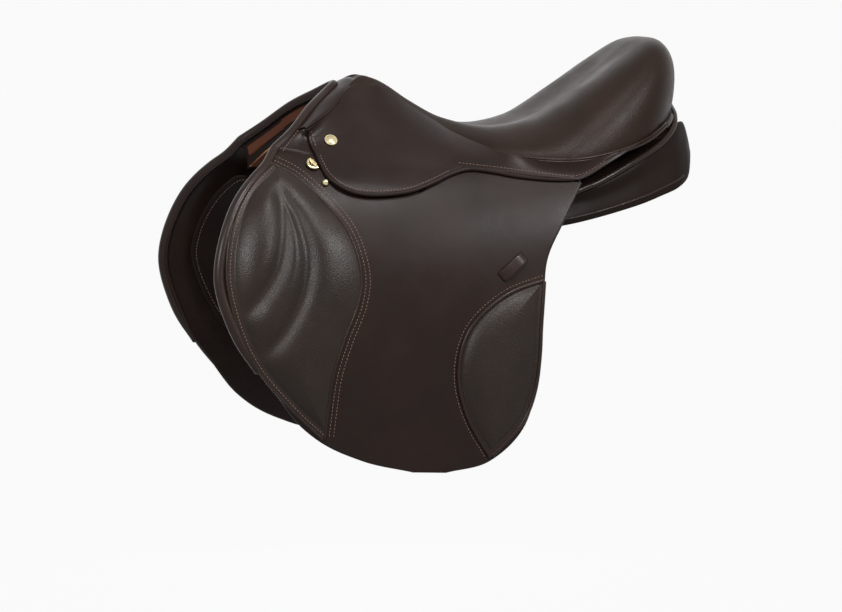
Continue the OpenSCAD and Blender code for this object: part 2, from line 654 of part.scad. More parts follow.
// Opening in the flap's top edge that the stirrup bar stands in
bar_notch = 33;
notch_before = 64;
notch_after = 62;
notch_blend = 18;
function notch(x) = bar_notch * smooth((x - bar_x + notch_before) / notch_blend)
    * smooth((bar_x + notch_after - x) / notch_blend);
function flap_pt(u, v) =
    let (a = curve(flap_front, v) + [roll_room(v), 0], b = curve(flap_rear, v), p = lerp(a, b, u),
        top = hinge_z(p[0]) - flap_gap - notch(p[0]))
    [p[0], min(p[1], lerp(top, p[1], clamp(v / 0.28, 0, 1)))];
module flap(s) {
    color(leather) side(s)
        sheet([for (v = steps(0, 1, 13)) [for (u = steps(0, 1, 17)) flap_pt(u, v)]], -flap_t, 0);
}

// The flap's leather above the bending line, which stays with the seat
flap_top_h = 14;
flap_top_sink = 0.5;
// Room in it for the catch of the stirrup bar to turn up
catch_clear = 2.5;
function catch_room(x) =
    let (pivot = bar_x + pin_x, reach = fork_len / 2 + catch_len + catch_clear)
    max(0, reach - bar_depth + 2) * smooth((x - pivot + 22) / 12) * smooth((pivot + reach + 12 - x) / 12);
module flap_top(s) {
    xs = steps(-hinge_front_x - 2, hinge_rear_x - 2, 28);
    function top(x) = hinge_z(x) + min(flap_top_h + catch_room(x) / 2, seam_z(x) - hinge_z(x) - 4);
    function low(x) = hinge_z(x) + flap_gap + catch_room(x);
    color(leather) side(s)
        sheet([for (f = [0, 1]) [for (x = xs) [x, lerp(top(x), low(x), f)]]],
            -flap_t - flap_top_sink, -flap_top_sink);
}

module flap_roll(s) {
    n = 8;
    start = 0.035;
    function spot(v) = curve(flap_front, v) + [roll_wide(v), 0];
    function ring(v) =
        let (q = spot(v), c = on_skin(q[0], q[1], -flap_t / 2), out = skin_normal(q[0], q[1]))
        [for (k = [0 : n - 1])
            c + cos(360 * k / n) * roll_wide(v) * [-1, 0, 0] + sin(360 * k / n) * roll_r * out];
    color(leather) side(s) loft([for (v = steps(start, roll_end, 20)) ring(v)]);
}

// Pads on the flap's outer face, domed between two edges

pad_edge = 1.2;
module pad(front, rear, crown, cuts, n, m) {
    function spot(u, v) = lerp(curve(front, v), curve(rear, v), u);
    function away(p, cut) = min([for (t = steps(0, 1, 24)) norm(p - curve(cut, t))]);
    function cut_at(p) = len(cuts) == 0 ? 0 : max([for (c = cuts) exp(-pow(away(p, c) / channel_half_w, 2))]);
    function height(u, v) =
        let (side_dome = pow(1 - pow(abs(2 * u - 1), 3), 0.5), end_dome = pow(1 - pow(abs(2 * v - 1), 6), 0.5))
        pad_edge + crown * side_dome * end_dome - channel_d * cut_at(spot(u, v)) * side_dome * end_dome;
    function share(i, k) = (1 - cos(180 * i / k)) / 2;
    function pt(i, j, lift) = let (p = spot(share(j, m), share(i, n))) on_skin(p[0], p[1], lift);
    slab([for (i = [0 : n]) [for (j = [0 : m]) pt(i, j, seat_gap + height(share(j, m), share(i, n)))]],
        [for (i = [0 : n]) [for (j = [0 : m]) pt(i, j, seat_gap)]]);
}

// The knee pad's outline and channels, given as distances behind the flap's foremost reach
function behind_front(pts) = [for (p = pts) [p[0] - flap_reach, p[1]]];
knee_front = behind_front([[82, 47], [65, 33], [48, 17], [30, -12], [19, -46], [16, -80], [20, -110],
    [36, -150], [60, -190], [87, -224], [119, -260]]);
knee_rear = behind_front([[88, 48], [106, 34], [127, 14], [147, -10], [164, -42], [171, -78], [167, -110],
    [153, -143], [140, -180], [128, -222], [126, -256]]);
knee_cuts = [
    behind_front([[77, 27], [80, -5], [80, -38], [71, -63], [50, -96], [28, -121]]),
    behind_front([[87, 27], [98, -16], [103, -51], [98, -85], [81, -116], [49, -161]])];
module knee_pad(s) {
    color(grain_leather) side(s) pad(knee_front, knee_rear, knee_h, knee_cuts, 26, 12);
}

calf_front = [[28, -92], [-12, -106], [-46, -130], [-66, -162], [-73, -200], [-68, -236], [-54, -266],
    [-38, -290]];
calf_rear = [[34, -94], [32, -118], [30, -144], [28, -172], [25, -204], [17, -236], [4, -263], [-28, -291]];
module calf_pad(s) {
    color(grain_leather) side(s) pad(calf_front, calf_rear, calf_h, [], 15, 8);
}

keeper_x = -3.5;
keeper_z = -73;
keeper_angle = 40;
keeper_len = 39;
keeper_w = 13;
keeper_room = 4;
keeper_t = 2.2;
module keeper(s) {
    color(leather) side(s) on_side(keeper_x, keeper_z) rotate([0, -keeper_angle, 0])
        translate([0, seat_gap + 0.4, 0]) difference() {
            translate([-keeper_len / 2, 0, -keeper_w / 2])
                cube([keeper_len, keeper_room + keeper_t, keeper_w]);
            translate([-keeper_len / 2 + keeper_t, -1, -keeper_w])
                cube([keeper_len - 2 * keeper_t, keeper_room + 1, 2 * keeper_w]);
        }
}

// Dee on the flap at the skirt's front edge: a clip with a tube, and a ring that swings in it

dee_x = -229;
dee_z = 46.5;
dee_angle = -27;
dee_lift = 3.2;
clip_len = 8;
clip_t = 0.9;
clip_foot = -0.3;
clip_r = dee_wire_r + run_gap + 0.85;
module dee_place() {
    on_side(dee_x, dee_z) rotate([0, dee_angle, 0]) translate([0, dee_lift, 0]) children();
}
module dee_clip(s) {
    color(brass) side(s) dee_place() difference() {
        union() {
            translate([0, 0, -clip_len / 2]) cylinder(r = clip_r, h = clip_len);
            translate([-dee_len / 2 + dee_wire_r, clip_foot - dee_lift, -clip_len / 2])
                cube([dee_len / 2 + 0.8, clip_t, clip_len]);
            translate([-1, clip_foot - dee_lift, -clip_len / 2]) cube([2, 2, clip_len]);
        }
        translate([0, 0, -clip_len]) cylinder(r = dee_wire_r + run_gap, h = 2 * clip_len);
    }
}
module dee(s) {
    color(brass) side(s) dee_place() {
        translate([0, 0, -dee_len / 2]) cylinder(r = dee_wire_r, h = dee_len);
        for (z = [-1, 1]) translate([0, 0, z * dee_len / 2]) sphere(dee_wire_r);
        rotate([90, 0, 0]) rotate([0, 0, 90])
            rotate_extrude(angle = 180) translate([dee_len / 2, 0]) circle(dee_wire_r);
    }
}

stud_x = -219;
stud_z = 27;
stud_r = 2.6;
module flap_stud(s) {
    color(brass) side(s) on_side(stud_x, stud_z) translate([0, seat_gap, 0]) rotate([-90, 0, 0]) {
        cylinder(r = stud_r, h = 1);
        translate([0, 0, 1]) dome_cap(stud_r, 1.2);
    }
}

// Panels, sweat flaps and girth straps

panel_front = 240;
// Rows of x, outer top y and z, outer bottom y and z, inner top z and inner bottom z
panel_rows = [
    [-panel_front, 72, 40, 100, -16, 44, 30], [-215, 76, 40, 112, -42, 70, 52],
    [-180, 81, 36, 120, -47, 78, 46],
    [-100, 90, 28, 127, -42, 58, 20], [0, 104, 18, 131, -36, 46, 8], [75, 118, 12, 126, -28, 48, 6],
    [119, 121, 21, 121, -20, 56, 9], [171, 112, 45, 115, -7, 68, 16], [203, 96, 64, 106, 3, 82, 23],
    [222, 82, 77, 99, 11, 84, 28], [panel_rear, 62, 66, 78, 36, 72, 42]];
module panel(s) {
    n = 16;
    function ring(x) =
        let (r = at(panel_rows, x), seat = on_skin(x, hinge_z(x) - 2, tree_in - seat_gap),
            f = smooth((x - 30) / 60), yt = lerp(seat[1], r[1], f), zt = lerp(seat[2], r[2], f),
            g = gullet_half_w, ym = (g + r[3]) / 2,
            pts = [[x, g, r[6] + 4], [x, g + 3, r[5] - 5], [x, lerp(g, yt, 0.55), lerp(r[5], zt, 0.45) - 3],
                [x, yt - 2.6, zt - 0.6], [x, lerp(yt, r[3], 0.55) - 2, lerp(zt, r[4], 0.45)],
                [x, r[3], r[4] + 3], [x, r[3] - 8, r[4] - 1], [x, ym, lerp(r[6], r[4], 0.5) - 4]])
        [for (k = [n - 1 : -1 : 0]) loop(pts, k / n)];
    color(panel_leather) side(s) loft([for (x = steps(-panel_front, panel_rear, 22)) ring(x)]);
}

lining_t = 2;
lining_front_in = 40;
lining_rear_in = 25;
module gullet_lining() {
    xs = steps(-panel_front + lining_front_in, panel_rear - lining_rear_in, 16);
    ys = steps(gullet_half_w - 2.8, -gullet_half_w + 2.8, 3);
    function z(x, y) = at(panel_rows, x)[5] - 9 + 4 * (1 - pow(y / gullet_half_w, 2));
    color(webbing) slab([for (x = xs) [for (y = ys) [x, y, z(x, y)]]],
        [for (x = xs) [for (y = ys) [x, y, z(x, y) - lining_t]]]);
}

sweat_front_in = 36;
sweat_rear_in = 22;
sweat_top = tree_skirt + 0.6;
sweat_lift = 40;
module sweat_flap(s) {
    function pt(u, v) =
        let (a = curve(flap_front, v) + [sweat_front_in, 0], b = curve(flap_rear, v) - [sweat_rear_in, 0],
            p = lerp(a, b, u), q = [p[0], lerp(p[1], p[1] + sweat_lift, smooth(v))],
            top = hinge_z(q[0]) - sweat_top)
        [q[0], min(q[1], lerp(top, q[1], clamp(v / 0.3, 0, 1)))];
    color(panel_leather) side(s)
        sheet([for (v = steps(0, 1, 10)) [for (u = steps(0, 1, 9)) pt(u, v)]], sweat_out - sweat_t, sweat_out);
}

function strap_x(i) = strap_mid_x + (i - 2) * strap_pitch;
module girth_web(s) {
    x0 = strap_x(1) - strap_w / 2;
    x1 = strap_x(3) + strap_w / 2;
    xs = steps(x0, x1, 8);
    tops = [for (x = xs) min(hinge_z(x) + 14, seam_z(x) - 4)];
    color(webbing) side(s)
        sheet([for (f = steps(0, 1, 3))
                [for (i = [0 : len(xs) - 1]) [xs[i], lerp(tops[i], hinge_z(xs[i]) - 30, f)]]],
            girth_web_in, girth_web_out);
}

hole_count = 6;
module girth_strap(s, i) {
    x = strap_x(i);
    zs = steps(hinge_z(x) - strap_top, -strap_drop, 14);
    function edge(lift) = [for (z = zs) let (p = on_skin(x, z, lift)) [p[1], p[2]]];
    inner = edge(strap_in);
    color(leather) side(s) difference() {
        translate([x - strap_w / 2, 0, 0]) rotate([90, 0, 90]) linear_extrude(strap_w)
            polygon(concat(edge(strap_out), [for (k = [len(inner) - 1 : -1 : 0]) inner[k]]));
        for (k = [1 : hole_count]) let (z = -strap_drop + k * hole_pitch)
            translate(on_skin(x, z, strap_in - 2)) rotate([skin_tilt(x, z) - 90, 0, 0])
                cylinder(r = hole_r, h = strap_t + 4);
    }
}

tree_rim();
tree_head();
tree_bar(-1);  // tree_bar_left
tree_bar(1);  // tree_bar_right
head_plate();
gullet_plate();
tree_rivets();
spring(-1);  // spring_left
spring(1);  // spring_right
stirrup_bar(-1);  // stirrup_bar_left
stirrup_bar(1);  // stirrup_bar_right
catch_pins();
bar_catch(-1);  // bar_catch_left
bar_catch(1);  // bar_catch_right
seat_web_long();
seat_web_cross();
seat_foam();
seat_cover();
seat_welt();
pommel_facing();
pommel_roll();
cantle_binding();
skirt(-1);  // skirt_left
skirt(1);  // skirt_right
saddle_nails();
flap_top(-1);  // flap_top_left
flap_top(1);  // flap_top_right
panel(-1);  // panel_left
panel(1);  // panel_right
gullet_lining();
point_pocket(-1);  // point_pocket_left
point_pocket(1);  // point_pocket_right
sweat_flap(-1);  // sweat_flap_left
sweat_flap(1);  // sweat_flap_right
girth_web(-1);  // girth_web_left
girth_web(1);  // girth_web_right
flap(-1);  // flap_left
flap(1);  // flap_right
flap_roll(-1);  // flap_roll_left
flap_roll(1);  // flap_roll_right
knee_pad(-1);  // knee_pad_left
knee_pad(1);  // knee_pad_right
calf_pad(-1);  // calf_pad_left
calf_pad(1);  // calf_pad_right
keeper(-1);  // keeper_left
keeper(1);  // keeper_right
dee_clip(-1);  // dee_clip_left
dee_clip(1);  // dee_clip_right
flap_stud(-1);  // flap_stud_left
flap_stud(1);  // flap_stud_right
dee(-1);  // dee_left
dee(1);  // dee_right
skirt_lobe(-1);  // skirt_lobe_left
skirt_lobe(1);  // skirt_lobe_right
girth_strap(-1, 1);  // girth_strap_left_1
girth_strap(-1, 2);  // girth_strap_left_2
girth_strap(-1, 3);  // girth_strap_left_3
girth_strap(1, 1);  // girth_strap_right_1
girth_strap(1, 2);  // girth_strap_right_2
girth_strap(1, 3);  // girth_strap_right_3
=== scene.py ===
import math

import bmesh
import bpy
import numpy as np
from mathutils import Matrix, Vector


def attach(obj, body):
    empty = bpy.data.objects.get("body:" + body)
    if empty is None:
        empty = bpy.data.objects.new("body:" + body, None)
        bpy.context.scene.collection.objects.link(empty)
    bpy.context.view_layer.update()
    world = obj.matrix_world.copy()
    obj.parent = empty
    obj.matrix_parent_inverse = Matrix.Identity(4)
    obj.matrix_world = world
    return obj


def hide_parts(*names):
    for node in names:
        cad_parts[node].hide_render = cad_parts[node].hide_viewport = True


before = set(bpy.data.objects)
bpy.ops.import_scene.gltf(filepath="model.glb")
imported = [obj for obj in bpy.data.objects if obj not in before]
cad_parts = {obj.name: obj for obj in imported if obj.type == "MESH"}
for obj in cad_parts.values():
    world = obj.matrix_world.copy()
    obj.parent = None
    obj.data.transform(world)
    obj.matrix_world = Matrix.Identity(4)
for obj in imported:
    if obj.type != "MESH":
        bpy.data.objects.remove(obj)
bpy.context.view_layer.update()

# Lengths in this script are millimetres, turned into metres when a mesh is made
MM = 0.001
SIDES = {"left": -1, "right": 1}

# Camera, measured in the photograph's 842 x 612 frame
CAMERA_AT = (-1301.5, -4302.0, 336.1)
CAMERA_LOOK = (0.2741, 0.9560, -0.1045)
CAMERA_LENS = 159
SENSOR_WIDTH, CLIP_END = 36, 1000
FLOOR_Z, FLOOR_REACH = -750, 400000

# Seat
POMMEL_REACH, POMMEL_Z = 156, 144
SEAT_LOW_Z = 81
CANTLE_REACH, CANTLE_Z = 238, 189
CANTLE_LEAN = 0.24
SEAT_HALF_W, TWIST_HALF_W = 137, 31
SEAT_DISH = 6
FOAM_IN = 16.8
WELT_R = 1.9

# Flaps and skirts, measured as lift from the flap's outer face
FLAP_T = 4.5
SKIRT_IN, SKIRT_T = 0.5, 3.5
FLAP_REACH, FLAP_DROP = 358, 312
ROLL_R = 6.5
BARREL_HALF_W, BARREL_FALL, BARREL_BOW, BARREL_MID_X = 178, 75, 0.00012, -60

# Ends of the bending line on the right side
HINGE_FRONT = np.array([-229.0, 92.0, 60.0])
HINGE_REAR = np.array([90.0, 140.0, 23.0])


# Curves

TINY = 1e-9


def lerp(a, b, t):
    return a + (b - a) * t


def smooth(t):
    c = np.clip(t, 0, 1)
    return c * c * (3 - 2 * c)


def unit(v):
    return v / np.linalg.norm(v, axis=-1, keepdims=True)


def rounding(d, r, least=0):
    """Share of the full thickness at a distance d from an edge rounded with radius r."""
    return np.sqrt(np.clip(1 - (1 - np.minimum(d / r, 1)) ** 2, least, 1))


def hermite(p, q, a, b, f):
    return (p * (2 * f ** 3 - 3 * f ** 2 + 1) + a * (f ** 3 - 2 * f ** 2 + f)
            + q * (3 * f ** 2 - 2 * f ** 3) + b * (f ** 3 - f ** 2))


def curve(points, t, closed=False):
    """Points on a smooth line through points, t from 0 to 1."""
    p = np.asarray(points, float)
    n = len(p)
    t = np.asarray(t, float)
    if closed:
        s = (t % 1) * n
        i = np.floor(s).astype(int) % n
        f = (s - np.floor(s))[..., None]
        a, b = (p[(i + 1) % n] - p[i - 1]) / 2, (p[(i + 2) % n] - p[i]) / 2
        return hermite(p[i], p[(i + 1) % n], a, b, f)
    s = np.clip(t, 0, 1) * (n - 1)
    i = np.minimum(np.floor(s).astype(int), n - 2)
    rise = np.gradient(p, axis=0)
    return hermite(p[i], p[i + 1], rise[i], rise[i + 1], (s - i)[..., None])


def at(rows, x):
    """Values at x of a smooth line through rows of [x, value ...]."""
    rows = np.asarray(rows, float)
    px = rows[:, 0]
    x = np.clip(np.asarray(x, float), px[0], px[-1])
    rise = np.empty_like(rows)
    rise[1:-1] = (rows[2:] - rows[:-2]) / (px[2:] - px[:-2])[:, None]
    rise[0] = (rows[1] - rows[0]) / (px[1] - px[0])
    rise[-1] = (rows[-1] - rows[-2]) / (px[-1] - px[-2])
    i = np.clip(np.searchsorted(px, x, side="right") - 1, 0, len(px) - 2)
    d = (px[i + 1] - px[i])[..., None]
    f = (x - px[i])[..., None] / d
    return hermite(rows[i], rows[i + 1], rise[i] * d, rise[i + 1] * d, f)


def along(path, count=None, step=None):
    """Evenly spaced points along a polyline."""
    path = np.asarray(path, float)
    run = np.concatenate([[0], np.cumsum(np.linalg.norm(np.diff(path, axis=0), axis=1))])
    count = count or max(2, int(round(run[-1] / step)) + 1)
    s = np.linspace(0, run[-1], count)
    return np.stack([np.interp(s, run, path[:, k]) for k in range(path.shape[1])], axis=1)


def fine(points, count=200):
    """A smooth line through points, evenly spaced."""
    return along(curve(points, np.linspace(0, 1, 20 * len(points))), count=count)


def far_from(p, path):
    """Distance of each point in p from a polyline, both in the plane of the side surface."""
    p = np.asarray(p, float)
    flat = p.reshape(-1, p.shape[-1])
    best = np.full(len(flat), np.inf)
    for a, b in zip(path[:-1], path[1:]):
        d = b - a
        t = np.clip(((flat - a) @ d) / max(d @ d, TINY), 0, 1)
        best = np.minimum(best, np.linalg.norm(flat - a - t[:, None] * d, axis=1))
    return best.reshape(p.shape[:-1])


# Side surface of the saddle, on the right

CORNER_REACH, CORNER_Z = 233, 87
SKIN_LEAST_H = 8
NORMAL_STEP = 0.5
SEAM = np.array([
    [-CORNER_REACH, HINGE_FRONT[1] - 6, CORNER_Z + 1],
    [-POMMEL_REACH - 37, TWIST_HALF_W + 27, POMMEL_Z - 35],
    [-POMMEL_REACH - 11, TWIST_HALF_W + 3, POMMEL_Z - 13],
    [-POMMEL_REACH + 19, TWIST_HALF_W, POMMEL_Z - 11],
    [-POMMEL_REACH + 41, TWIST_HALF_W, POMMEL_Z - 21],
    [-POMMEL_REACH + 64, TWIST_HALF_W + 5, POMMEL_Z - 37],
    [-POMMEL_REACH + 86, TWIST_HALF_W + 15, POMMEL_Z - 52],
    [-POMMEL_REACH + 106, TWIST_HALF_W + 31, POMMEL_Z - 66],
    [-20, lerp(TWIST_HALF_W, SEAT_HALF_W, 0.54), SEAT_LOW_Z - 18],
    [9, lerp(TWIST_HALF_W, SEAT_HALF_W, 0.77), SEAT_LOW_Z - 28],
    [64, SEAT_HALF_W - 1, SEAT_LOW_Z - 33],
    [113, SEAT_HALF_W, SEAT_LOW_Z - 29],
    [CANTLE_REACH - 70, SEAT_HALF_W - 13, CANTLE_Z - 123],
    [CANTLE_REACH - 33, SEAT_HALF_W - 39, CANTLE_Z - 105]])


def hinge_share(x):
    return (np.asarray(x, float) - HINGE_FRONT[0]) / (HINGE_REAR[0] - HINGE_FRONT[0])


def hinge_y(x):
    return lerp(HINGE_FRONT[1], HINGE_REAR[1], hinge_share(x))


def hinge_z(x):
    return lerp(HINGE_FRONT[2], HINGE_REAR[2], hinge_share(x))


def skin_y(x, z):
    x, z = np.asarray(x, float), np.asarray(z, float)
    t = hinge_z(x) - z
    y0 = hinge_y(x)
    k = (BARREL_HALF_W - BARREL_BOW * (x - BARREL_MID_X) ** 2 - y0) / BARREL_FALL
    below = y0 + k * BARREL_FALL * (1 - np.exp(-np.maximum(t, 0) / BARREL_FALL))
    seam = at(SEAM, x)
    h = np.maximum(seam[..., 2] - hinge_z(x), SKIN_LEAST_H)
    c = (seam[..., 1] - y0 + k * h) / (h * h)
    return np.where(t >= 0, below, y0 + k * t + c * t * t)


def skin_normal(x, z):
    e = NORMAL_STEP
    n = np.stack([skin_y(x - e, z) - skin_y(x + e, z), np.full(np.shape(x), 2 * e),
                  skin_y(x, z - e) - skin_y(x, z + e)], axis=-1)
    return unit(n)


def on_skin(p, lift):
    """Points of the side surface at [x, z] places, raised by lift."""
    p = np.asarray(p, float)
    x, z = p[..., 0], p[..., 1]
    base = np.stack([x, skin_y(x, z), z], axis=-1)
    return base + np.asarray(lift, float)[..., None] * skin_normal(x, z)


# Meshes

WELD_DIST, FLAT_DIST = 2e-5, 1e-6
# Angle in degrees above which an edge stays sharp
SHARP = 50


def tidy(obj, angle):
    """Weld coincident points, drop faces without area and shade smooth up to an angle in degrees."""
    bm = bmesh.new()
    bm.from_mesh(obj.data)
    bmesh.ops.remove_doubles(bm, verts=bm.verts, dist=WELD_DIST)
    bmesh.ops.dissolve_degenerate(bm, edges=bm.edges, dist=FLAT_DIST)
    bmesh.ops.recalc_face_normals(bm, faces=bm.faces)
    bm.to_mesh(obj.data)
    bm.free()
    for poly in obj.data.polygons:
        poly.use_smooth = True
    obj.data.set_sharp_from_angle(angle=math.radians(angle))
    return obj


def make(name, points, faces, material, side=1):
    """New object from points on the right side, mirrored for the left."""
    points = np.asarray(points, float).reshape(-1, 3) * MM * (1, side, 1)
    mesh = bpy.data.meshes.new(name)
    mesh.from_pydata(points.tolist(), [], [list(f) for f in faces])
    mesh.update()
    obj = bpy.data.objects.new(name, mesh)
    bpy.context.scene.collection.objects.link(obj)
    obj.data.materials.append(material)
    return obj


def grid_faces(n, m, start=0, wrap=False):
    cols = m if wrap else m - 1
    return [(start + i * m + j, start + i * m + (j + 1) % m, start + (i + 1) * m + (j + 1) % m,
             start + (i + 1) * m + j) for i in range(n - 1) for j in range(cols)]


def tube_faces(n, m, start=0):
    """Faces of n rings of m points, with a face on each end."""
    last = start + (n - 1) * m
    ends = [tuple(range(start, start + m))[::-1], tuple(range(last, last + m))]
    return grid_faces(n, m, start, wrap=True) + ends


def slab(name, outer, inner, material, side=1, angle=SHARP):
    """Closed piece between two grids of points."""
    n, m = outer.shape[:2]
    rim = ([i * m for i in range(n)] + [(n - 1) * m + j for j in range(1, m)]
           + [i * m + m - 1 for i in range(n - 2, -1, -1)] + [j for j in range(m - 2, 0, -1)])
    faces = grid_faces(n, m) + [f[::-1] for f in grid_faces(n, m, n * m)]
    faces += [(rim[k], rim[(k + 1) % len(rim)], n * m + rim[(k + 1) % len(rim)], n * m + rim[k])
              for k in range(len(rim))]
    points = np.concatenate([outer.reshape(-1, 3), inner.reshape(-1, 3)])
    return tidy(make(name, points, faces, material, side), angle)


def turns(count):
    return np.linspace(0, 2 * np.pi, count, endpoint=False)


STEEP = 0.9
# Rounded end of a tube: turns from its rim to its tip, and its length as a share of the radius
CAP_TURNS, CAP_LEN = (0.0, 0.6, 1.1, 1.5), 0.6


def frames(path):
    """Tangent and two cross directions along a path, turning as little as they can."""
    d = unit(np.gradient(path, axis=0))
    a = np.cross(d[0], (0, 0, 1) if abs(d[0][2]) < STEEP else (1, 0, 0))
    rows = []
    for t in d:
        a = unit(a - t * (a @ t))
        rows.append((a, np.cross(t, a)))
    return d, np.array([r[0] for r in rows]), np.array([r[1] for r in rows])


def tube_points(path, radius, sides):
    """Rings of a round tube with rounded ends along a path."""
    path = np.asarray(path, float)
    radius = np.broadcast_to(np.asarray(radius, float), len(path))
    d, a, b = frames(path)
    turn = turns(sides)[:, None]
    rings = []
    for end, sign in ((0, -1), (len(path) - 1, 1)):
        reach = sign * d[end] * radius[end] * CAP_LEN
        caps = [(path[end] + reach * math.sin(w), radius[end] * math.cos(w), end) for w in CAP_TURNS]
        rings.append(caps[::-1] if end == 0 else caps[1:])
    middle = [(path[i], radius[i], i) for i in range(1, len(path))]
    return np.array([c + r * (np.cos(turn) * a[i] + np.sin(turn) * b[i])
                     for c, r, i in rings[0] + middle + rings[1]])


def tube(name, path, radius, material, side=1, *, sides):
    rings = tube_points(path, radius, sides)
    return tidy(make(name, rings, tube_faces(len(rings), sides), material, side), angle=60)


STITCH_PITCH, STITCH_LEN, STITCH_R, STITCH_SINK = 4.1, 2.6, 0.42, 0.1
STITCH_SIDES = 6
# Rings of a stitch: place along its length and share of its radius
STITCH_RINGS = ((-0.5, 0.35), (-0.3, 0.9), (0.0, 1.0), (0.3, 0.9), (0.5, 0.35))


def stitches(name, path, up, side):
    """Row of separate stitches along a path, each a small pointed bar lying on the leather."""
    spots = along(path, step=STITCH_PITCH)
    normals = np.stack([np.interp(np.linspace(0, 1, len(spots)), np.linspace(0, 1, len(up)), up[:, k])
                        for k in range(3)], axis=1)
    d = unit(np.gradient(spots, axis=0))
    across = unit(np.cross(normals, d))
    lift = np.cross(d, across)
    turn = turns(STITCH_SIDES)[:, None]
    points, faces = [], []
    for c, t, a, n in zip(spots[:-1], d, across, lift):
        faces += tube_faces(len(STITCH_RINGS), STITCH_SIDES, len(points) * STITCH_SIDES)
        around = np.cos(turn) * a + np.sin(turn) * n
        points += [c + t * share * STITCH_LEN - n * STITCH_SINK + STITCH_R * wide * around
                   for share, wide in STITCH_RINGS]
    return tidy(make(name, np.array(points), faces, THREAD, side), angle=80)


def skin_row(p):
    """Surface normals along a row of [x, z] places."""
    p = np.asarray(p, float)
    return skin_normal(p[:, 0], p[:, 1])


def sheet(name, p, outer, inner, material, side, angle=SHARP):
    """Closed piece on the side surface, between an outer and an inner lift."""
    return slab(name, on_skin(p, outer), on_skin(p, inner), material, side, angle)


def stitched(name, path, lift, side):
    """Row of stitches along a path on the side surface."""
    return stitches(name, on_skin(path, lift), skin_row(path), side)


def offset(path, d):
    """Line beside a path in the plane, d to its left."""
    t = unit(np.gradient(path, axis=0))
    return path + d * np.stack([-t[:, 1], t[:, 0]], axis=1)


CROWD_POWER = 1.8


def crowd_end(count):
    """Shares from 0 to 1 that crowd towards the end."""
    return 1 - (1 - np.linspace(0, 1, count)) ** CROWD_POWER


def crowd_both(count):
    """Shares from 0 to 1 that crowd towards both ends."""
    return (1 - np.cos(np.pi * np.linspace(0, 1, count))) / 2


def lower_rim(p):
    """Front, lower and rear edge of a grid of places."""
    return np.concatenate([p[:, 0], p[-1, 1:], p[-2::-1, -1]])


def settle(obj, body, slot, *nodes):
    """Let a piece ride on a body and stand for its CAD nodes, which it hides; the slot it is given is not
    used.
    """
    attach(obj, body)
    if nodes:
        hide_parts(*nodes)
    return obj


# Materials

def srgb(*values):
    """Linear colour from 0 to 255 values."""
    shares = [v / 255 for v in values]
    return tuple(c / 12.92 if c <= 0.04045 else ((c + 0.055) / 1.055) ** 2.4 for c in shares)


def combine(tree, operation, a, b):
    """Result of a math node on an output and another output or a number."""
    node = tree.nodes.new("ShaderNodeMath")
    node.operation = operation
    tree.links.new(a, node.inputs[0])
    if isinstance(b, float):
        node.inputs[1].default_value = b
    else:
        tree.links.new(b, node.inputs[1])
    return node.outputs[0]


NOISE_ROUGH = 0.55


class Nodes:
    """Short forms for building a material."""

    def __init__(self, name):
        self.material = bpy.data.materials.new(name)
        self.material.use_nodes = True
        self.tree = self.material.node_tree
        self.shader = self.tree.nodes["Principled BSDF"]
        self.place = self.add("ShaderNodeTexCoord").outputs["Object"]

    def add(self, kind, **values):
        node = self.tree.nodes.new(kind)
        for key, value in values.items():
            setattr(node, key, value)
        return node

    def link(self, a, b):
        self.tree.links.new(a, b)

    def noise(self, scale, detail):
        node = self.add("ShaderNodeTexNoise")
        self.link(self.place, node.inputs["Vector"])
        node.inputs["Scale"].default_value = scale
        node.inputs["Detail"].default_value = detail
        node.inputs["Roughness"].default_value = NOISE_ROUGH
        return node.outputs["Fac"]

    def cells(self, scale):
        node = self.add("ShaderNodeTexVoronoi", feature="SMOOTH_F1")
        self.link(self.place, node.inputs["Vector"])
        node.inputs["Scale"].default_value = scale
        return node.outputs["Distance"]

    def spread(self, value, low, high, from_low=0.3, from_high=0.7):
        node = self.add("ShaderNodeMapRange")
        self.link(value, node.inputs["Value"])
        ends = {"From Min": from_low, "From Max": from_high, "To Min": low, "To Max": high}
        for key, number in ends.items():
            node.inputs[key].default_value = number
        return node.outputs["Result"]

    def tint(self, value, low, high):
        node = self.add("ShaderNodeMix", data_type="RGBA")
        self.link(value, node.inputs["Factor"])
        node.inputs["A"].default_value = (*low, 1)
        node.inputs["B"].default_value = (*high, 1)
        return node.outputs["Result"]

    def bump(self, height, depth, before=None):
        node = self.add("ShaderNodeBump")
        node.inputs["Strength"].default_value = 1
        node.inputs["Distance"].default_value = depth
        self.link(height, node.inputs["Height"])
        if before is not None:
            self.link(before, node.inputs["Normal"])
        return node.outputs["Normal"]

    def finish(self, colour, rough, normal, **fixed):
        self.link(colour, self.shader.inputs["Base Color"])
        self.link(rough, self.shader.inputs["Roughness"])
        self.link(normal, self.shader.inputs["Normal"])
        for key, value in fixed.items():
            self.shader.inputs[key.replace("_", " ")].default_value = value
        return self.material


# Noise scales of leather's mottling, polish and soft waves, and the waves' depth
MOTTLE_SCALE, POLISH_SCALE, WAVE_SCALE, WAVE_DEPTH = 14, 30, 90, 0.1
FINE_GRAIN = 1.6


